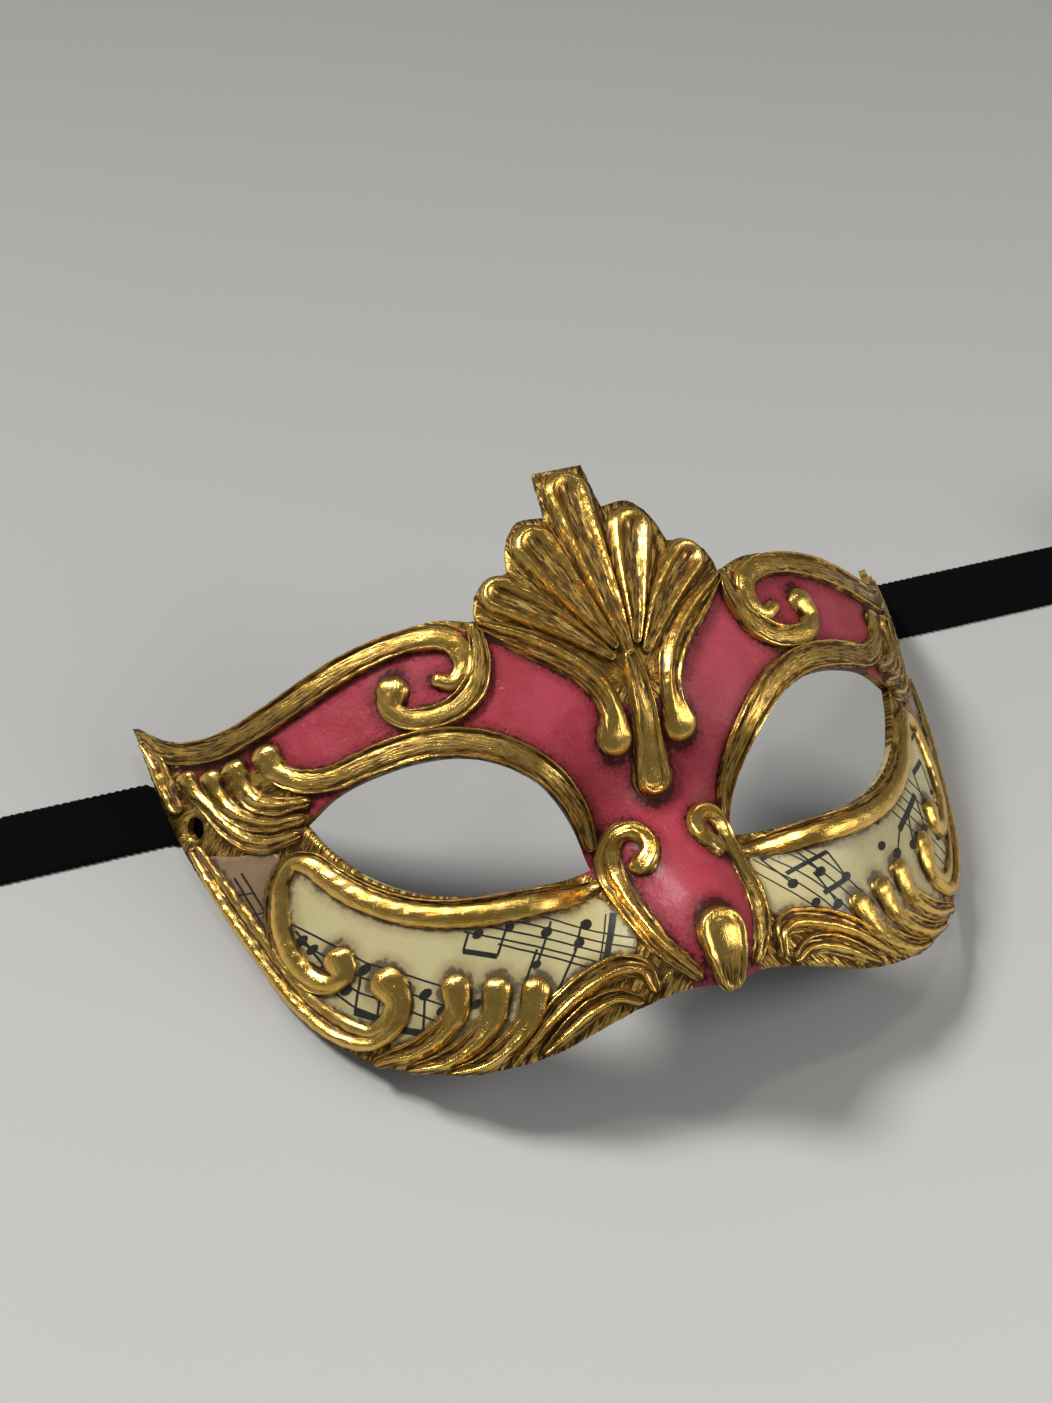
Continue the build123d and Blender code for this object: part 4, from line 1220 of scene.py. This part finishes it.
def knot_mesh(side):
    """Overhand knot: two crossing turns of gathered ribbon behind the temple hole."""
    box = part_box(f"ribbon_knot_{side}")
    centre = (np.array(box[0]) + np.array(box[1])) / 2
    half = (np.array(box[1]) - np.array(box[0])) / 2
    sign = SIDES[side]
    points, faces = [], []
    turns, ring = 72, 10
    tube = 0.00105
    path = []
    for k in range(turns):
        t = 2 * math.pi * k / turns
        p = np.array([math.sin(t) + 2 * math.sin(2 * t), math.cos(t) - 2 * math.cos(2 * t), -math.sin(3 * t)])
        path.append(centre + p / [3.0, 3.0, 1.0] * (half - tube * 1.05) * [sign, 1, 1])
    path = np.array(path)
    for k in range(turns):
        ahead = path[(k + 1) % turns] - path[k - 1]
        ahead /= np.linalg.norm(ahead)
        side_way = np.cross(ahead, [0.13, 0.31, 0.94])
        side_way /= np.linalg.norm(side_way)
        up_way = np.cross(side_way, ahead)
        for j in range(ring):
            a = 2 * math.pi * j / ring
            fold = 1 + 0.14 * math.cos(4 * a)
            points.append(path[k] + (side_way * math.cos(a) + up_way * math.sin(a) * 0.75) * tube * fold)
    for k in range(turns):
        for j in range(ring):
            a, b = k * ring + j, k * ring + (j + 1) % ring
            c, d = ((k + 1) % turns) * ring + (j + 1) % ring, ((k + 1) % turns) * ring + j
            faces.append((a, b, c, d))
    mesh = bpy.data.meshes.new(f"ribbon_knot_{side}_tied")
    mesh.from_pydata([tuple(p) for p in points], [], faces)
    keep_values(mesh, "along", [(i // ring) * 3.0 for i in range(len(points))])
    keep_values(mesh, "across", [(i % ring) * 6.0 for i in range(len(points))])
    mesh.polygons.foreach_set("use_smooth", [True] * len(faces))
    mesh.update()
    recalculate(mesh)
    return mesh


class MASK_OT_ribbons(bpy.types.Operator):
    """Two woven tie ribbons, each knotted behind its temple hole and rolled up at its far end"""
    bl_idname = "mask.ribbons"
    bl_label = "Tie ribbons"

    def execute(self, context):
        sizes = context.scene.mask_sizes
        for side, sign in SIDES.items():
            mesh, length = ribbon_mesh(side, sizes)
            piece = place(f"ribbon_{side}_band", mesh, finish("woven_ribbon"), body=None,
                          replaces=(f"ribbon_lead_{side}", f"ribbon_strip_{side}", f"ribbon_roll_{side}"))
            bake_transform(piece)
            picot_piece(side, sizes)
            place(f"ribbon_knot_{side}_tied", knot_mesh(side), finish("woven_ribbon"),
                  replaces=(f"ribbon_knot_{side}",))
        return {"FINISHED"}


# ---- stage -----------------------------------------------------------------------------
CAMERA_PLACE = Vector((-201.16, -273.59, 466.88)) * MM
CAMERA_AIM = Vector((-20.27, 12.61, 44.91)) * MM
CAMERA_ROLL = math.radians(13.49)
CAMERA_LENS = 69.3
LIGHTS = {                  # place, size, power in watts, colour
    "window_light": ((-0.75, 0.80, 1.1), (0.40, 0.32), 19.0, (1.0, 0.99, 0.97)),
    "ceiling_light": ((0.10, 0.50, 1.30), (0.30, 0.10), 1.3, (1.0, 0.98, 0.95)),
    "room_light": ((0.95, -0.45, 0.75), (0.60, 0.60), 5.2, (1.0, 0.98, 0.95)),
}


def soft_light(name, place_at, size, power, colour):
    """Rectangular lamp that looks at the mask."""
    data = bpy.data.lights.new(name, "AREA")
    data.shape = "RECTANGLE"
    data.size, data.size_y = size
    data.energy = power
    data.color = colour
    lamp = put(name, data)
    lamp.location = place_at
    lamp.rotation_euler = (-Vector(place_at)).to_track_quat("-Z", "Y").to_euler()


class MASK_OT_stage(bpy.types.Operator):
    """Pale table, soft light and the camera"""
    bl_idname = "mask.stage"
    bl_label = "Stage"

    def execute(self, context):
        scene = context.scene
        mesh = bpy.data.meshes.new("table_top")
        reach = 3.0
        mesh.from_pydata([(-reach, -reach, -0.0001), (reach, -reach, -0.0001), (reach, reach, -0.0001),
                          (-reach, reach, -0.0001)], [], [(0, 1, 2, 3)])
        table = put("table_top", mesh)
        mesh.materials.append(finish("pale_table"))
        for name, (place_at, size, power, colour) in LIGHTS.items():
            soft_light(name, place_at, size, power, colour)
        world = bpy.data.worlds.new("soft_room")
        scene.world = world
        world.use_nodes = True
        world.node_tree.nodes["Background"].inputs[0].default_value = (0.60, 0.61, 0.62, 1)
        world.node_tree.nodes["Background"].inputs[1].default_value = 0.235
        data = bpy.data.cameras.new("view_camera")
        data.lens = CAMERA_LENS
        data.sensor_width = 36.0
        data.clip_start = 0.01
        camera = put("view_camera", data)
        turn = (CAMERA_AIM - CAMERA_PLACE).to_track_quat("-Z", "Y").to_matrix()
        camera.matrix_world = Matrix.Translation(CAMERA_PLACE) @ (
            turn @ Matrix.Rotation(CAMERA_ROLL, 3, "Z")).to_4x4()
        scene.camera = camera
        scene.view_settings.view_transform = "Standard"
        return {"FINISHED"}


class MASK_PT_panel(bpy.types.Panel):
    """Lists the mask's pieces"""
    bl_idname = "MASK_PT_panel"
    bl_label = "Venetian half mask"
    bl_space_type = "VIEW_3D"
    bl_region_type = "UI"
    bl_category = "Mask"

    def draw(self, context):
        for operator in OPERATORS:
            self.layout.operator(operator.bl_idname)
        for key in MaskSizes.__annotations__:
            self.layout.prop(context.scene.mask_sizes, key)
        for key in MaskColours.__annotations__:
            self.layout.prop(context.scene.mask_colours, key)


OPERATORS = (MASK_OT_stage, MASK_OT_ribbons, MASK_OT_shell, MASK_OT_collage, MASK_OT_brow_relief,
             MASK_OT_temple_relief, MASK_OT_crest, MASK_OT_cheek_relief)
CLASSES = (MaskSizes, MaskColours) + OPERATORS + (MASK_PT_panel,)


def register():
    for item in CLASSES:
        bpy.utils.register_class(item)
    bpy.types.Scene.mask_sizes = bpy.props.PointerProperty(type=MaskSizes)
    bpy.types.Scene.mask_colours = bpy.props.PointerProperty(type=MaskColours)


def unregister():
    del bpy.types.Scene.mask_colours
    del bpy.types.Scene.mask_sizes
    for item in reversed(CLASSES):
        bpy.utils.unregister_class(item)


def main():
    register()
    bpy.ops.mask.stage()
    bpy.ops.mask.ribbons()
    bpy.ops.mask.shell()
    bpy.ops.mask.collage()
    bpy.ops.mask.brow_relief()
    bpy.ops.mask.temple_relief()
    bpy.ops.mask.crest()
    bpy.ops.mask.cheek_relief()


if __name__ == "__main__":
    main()
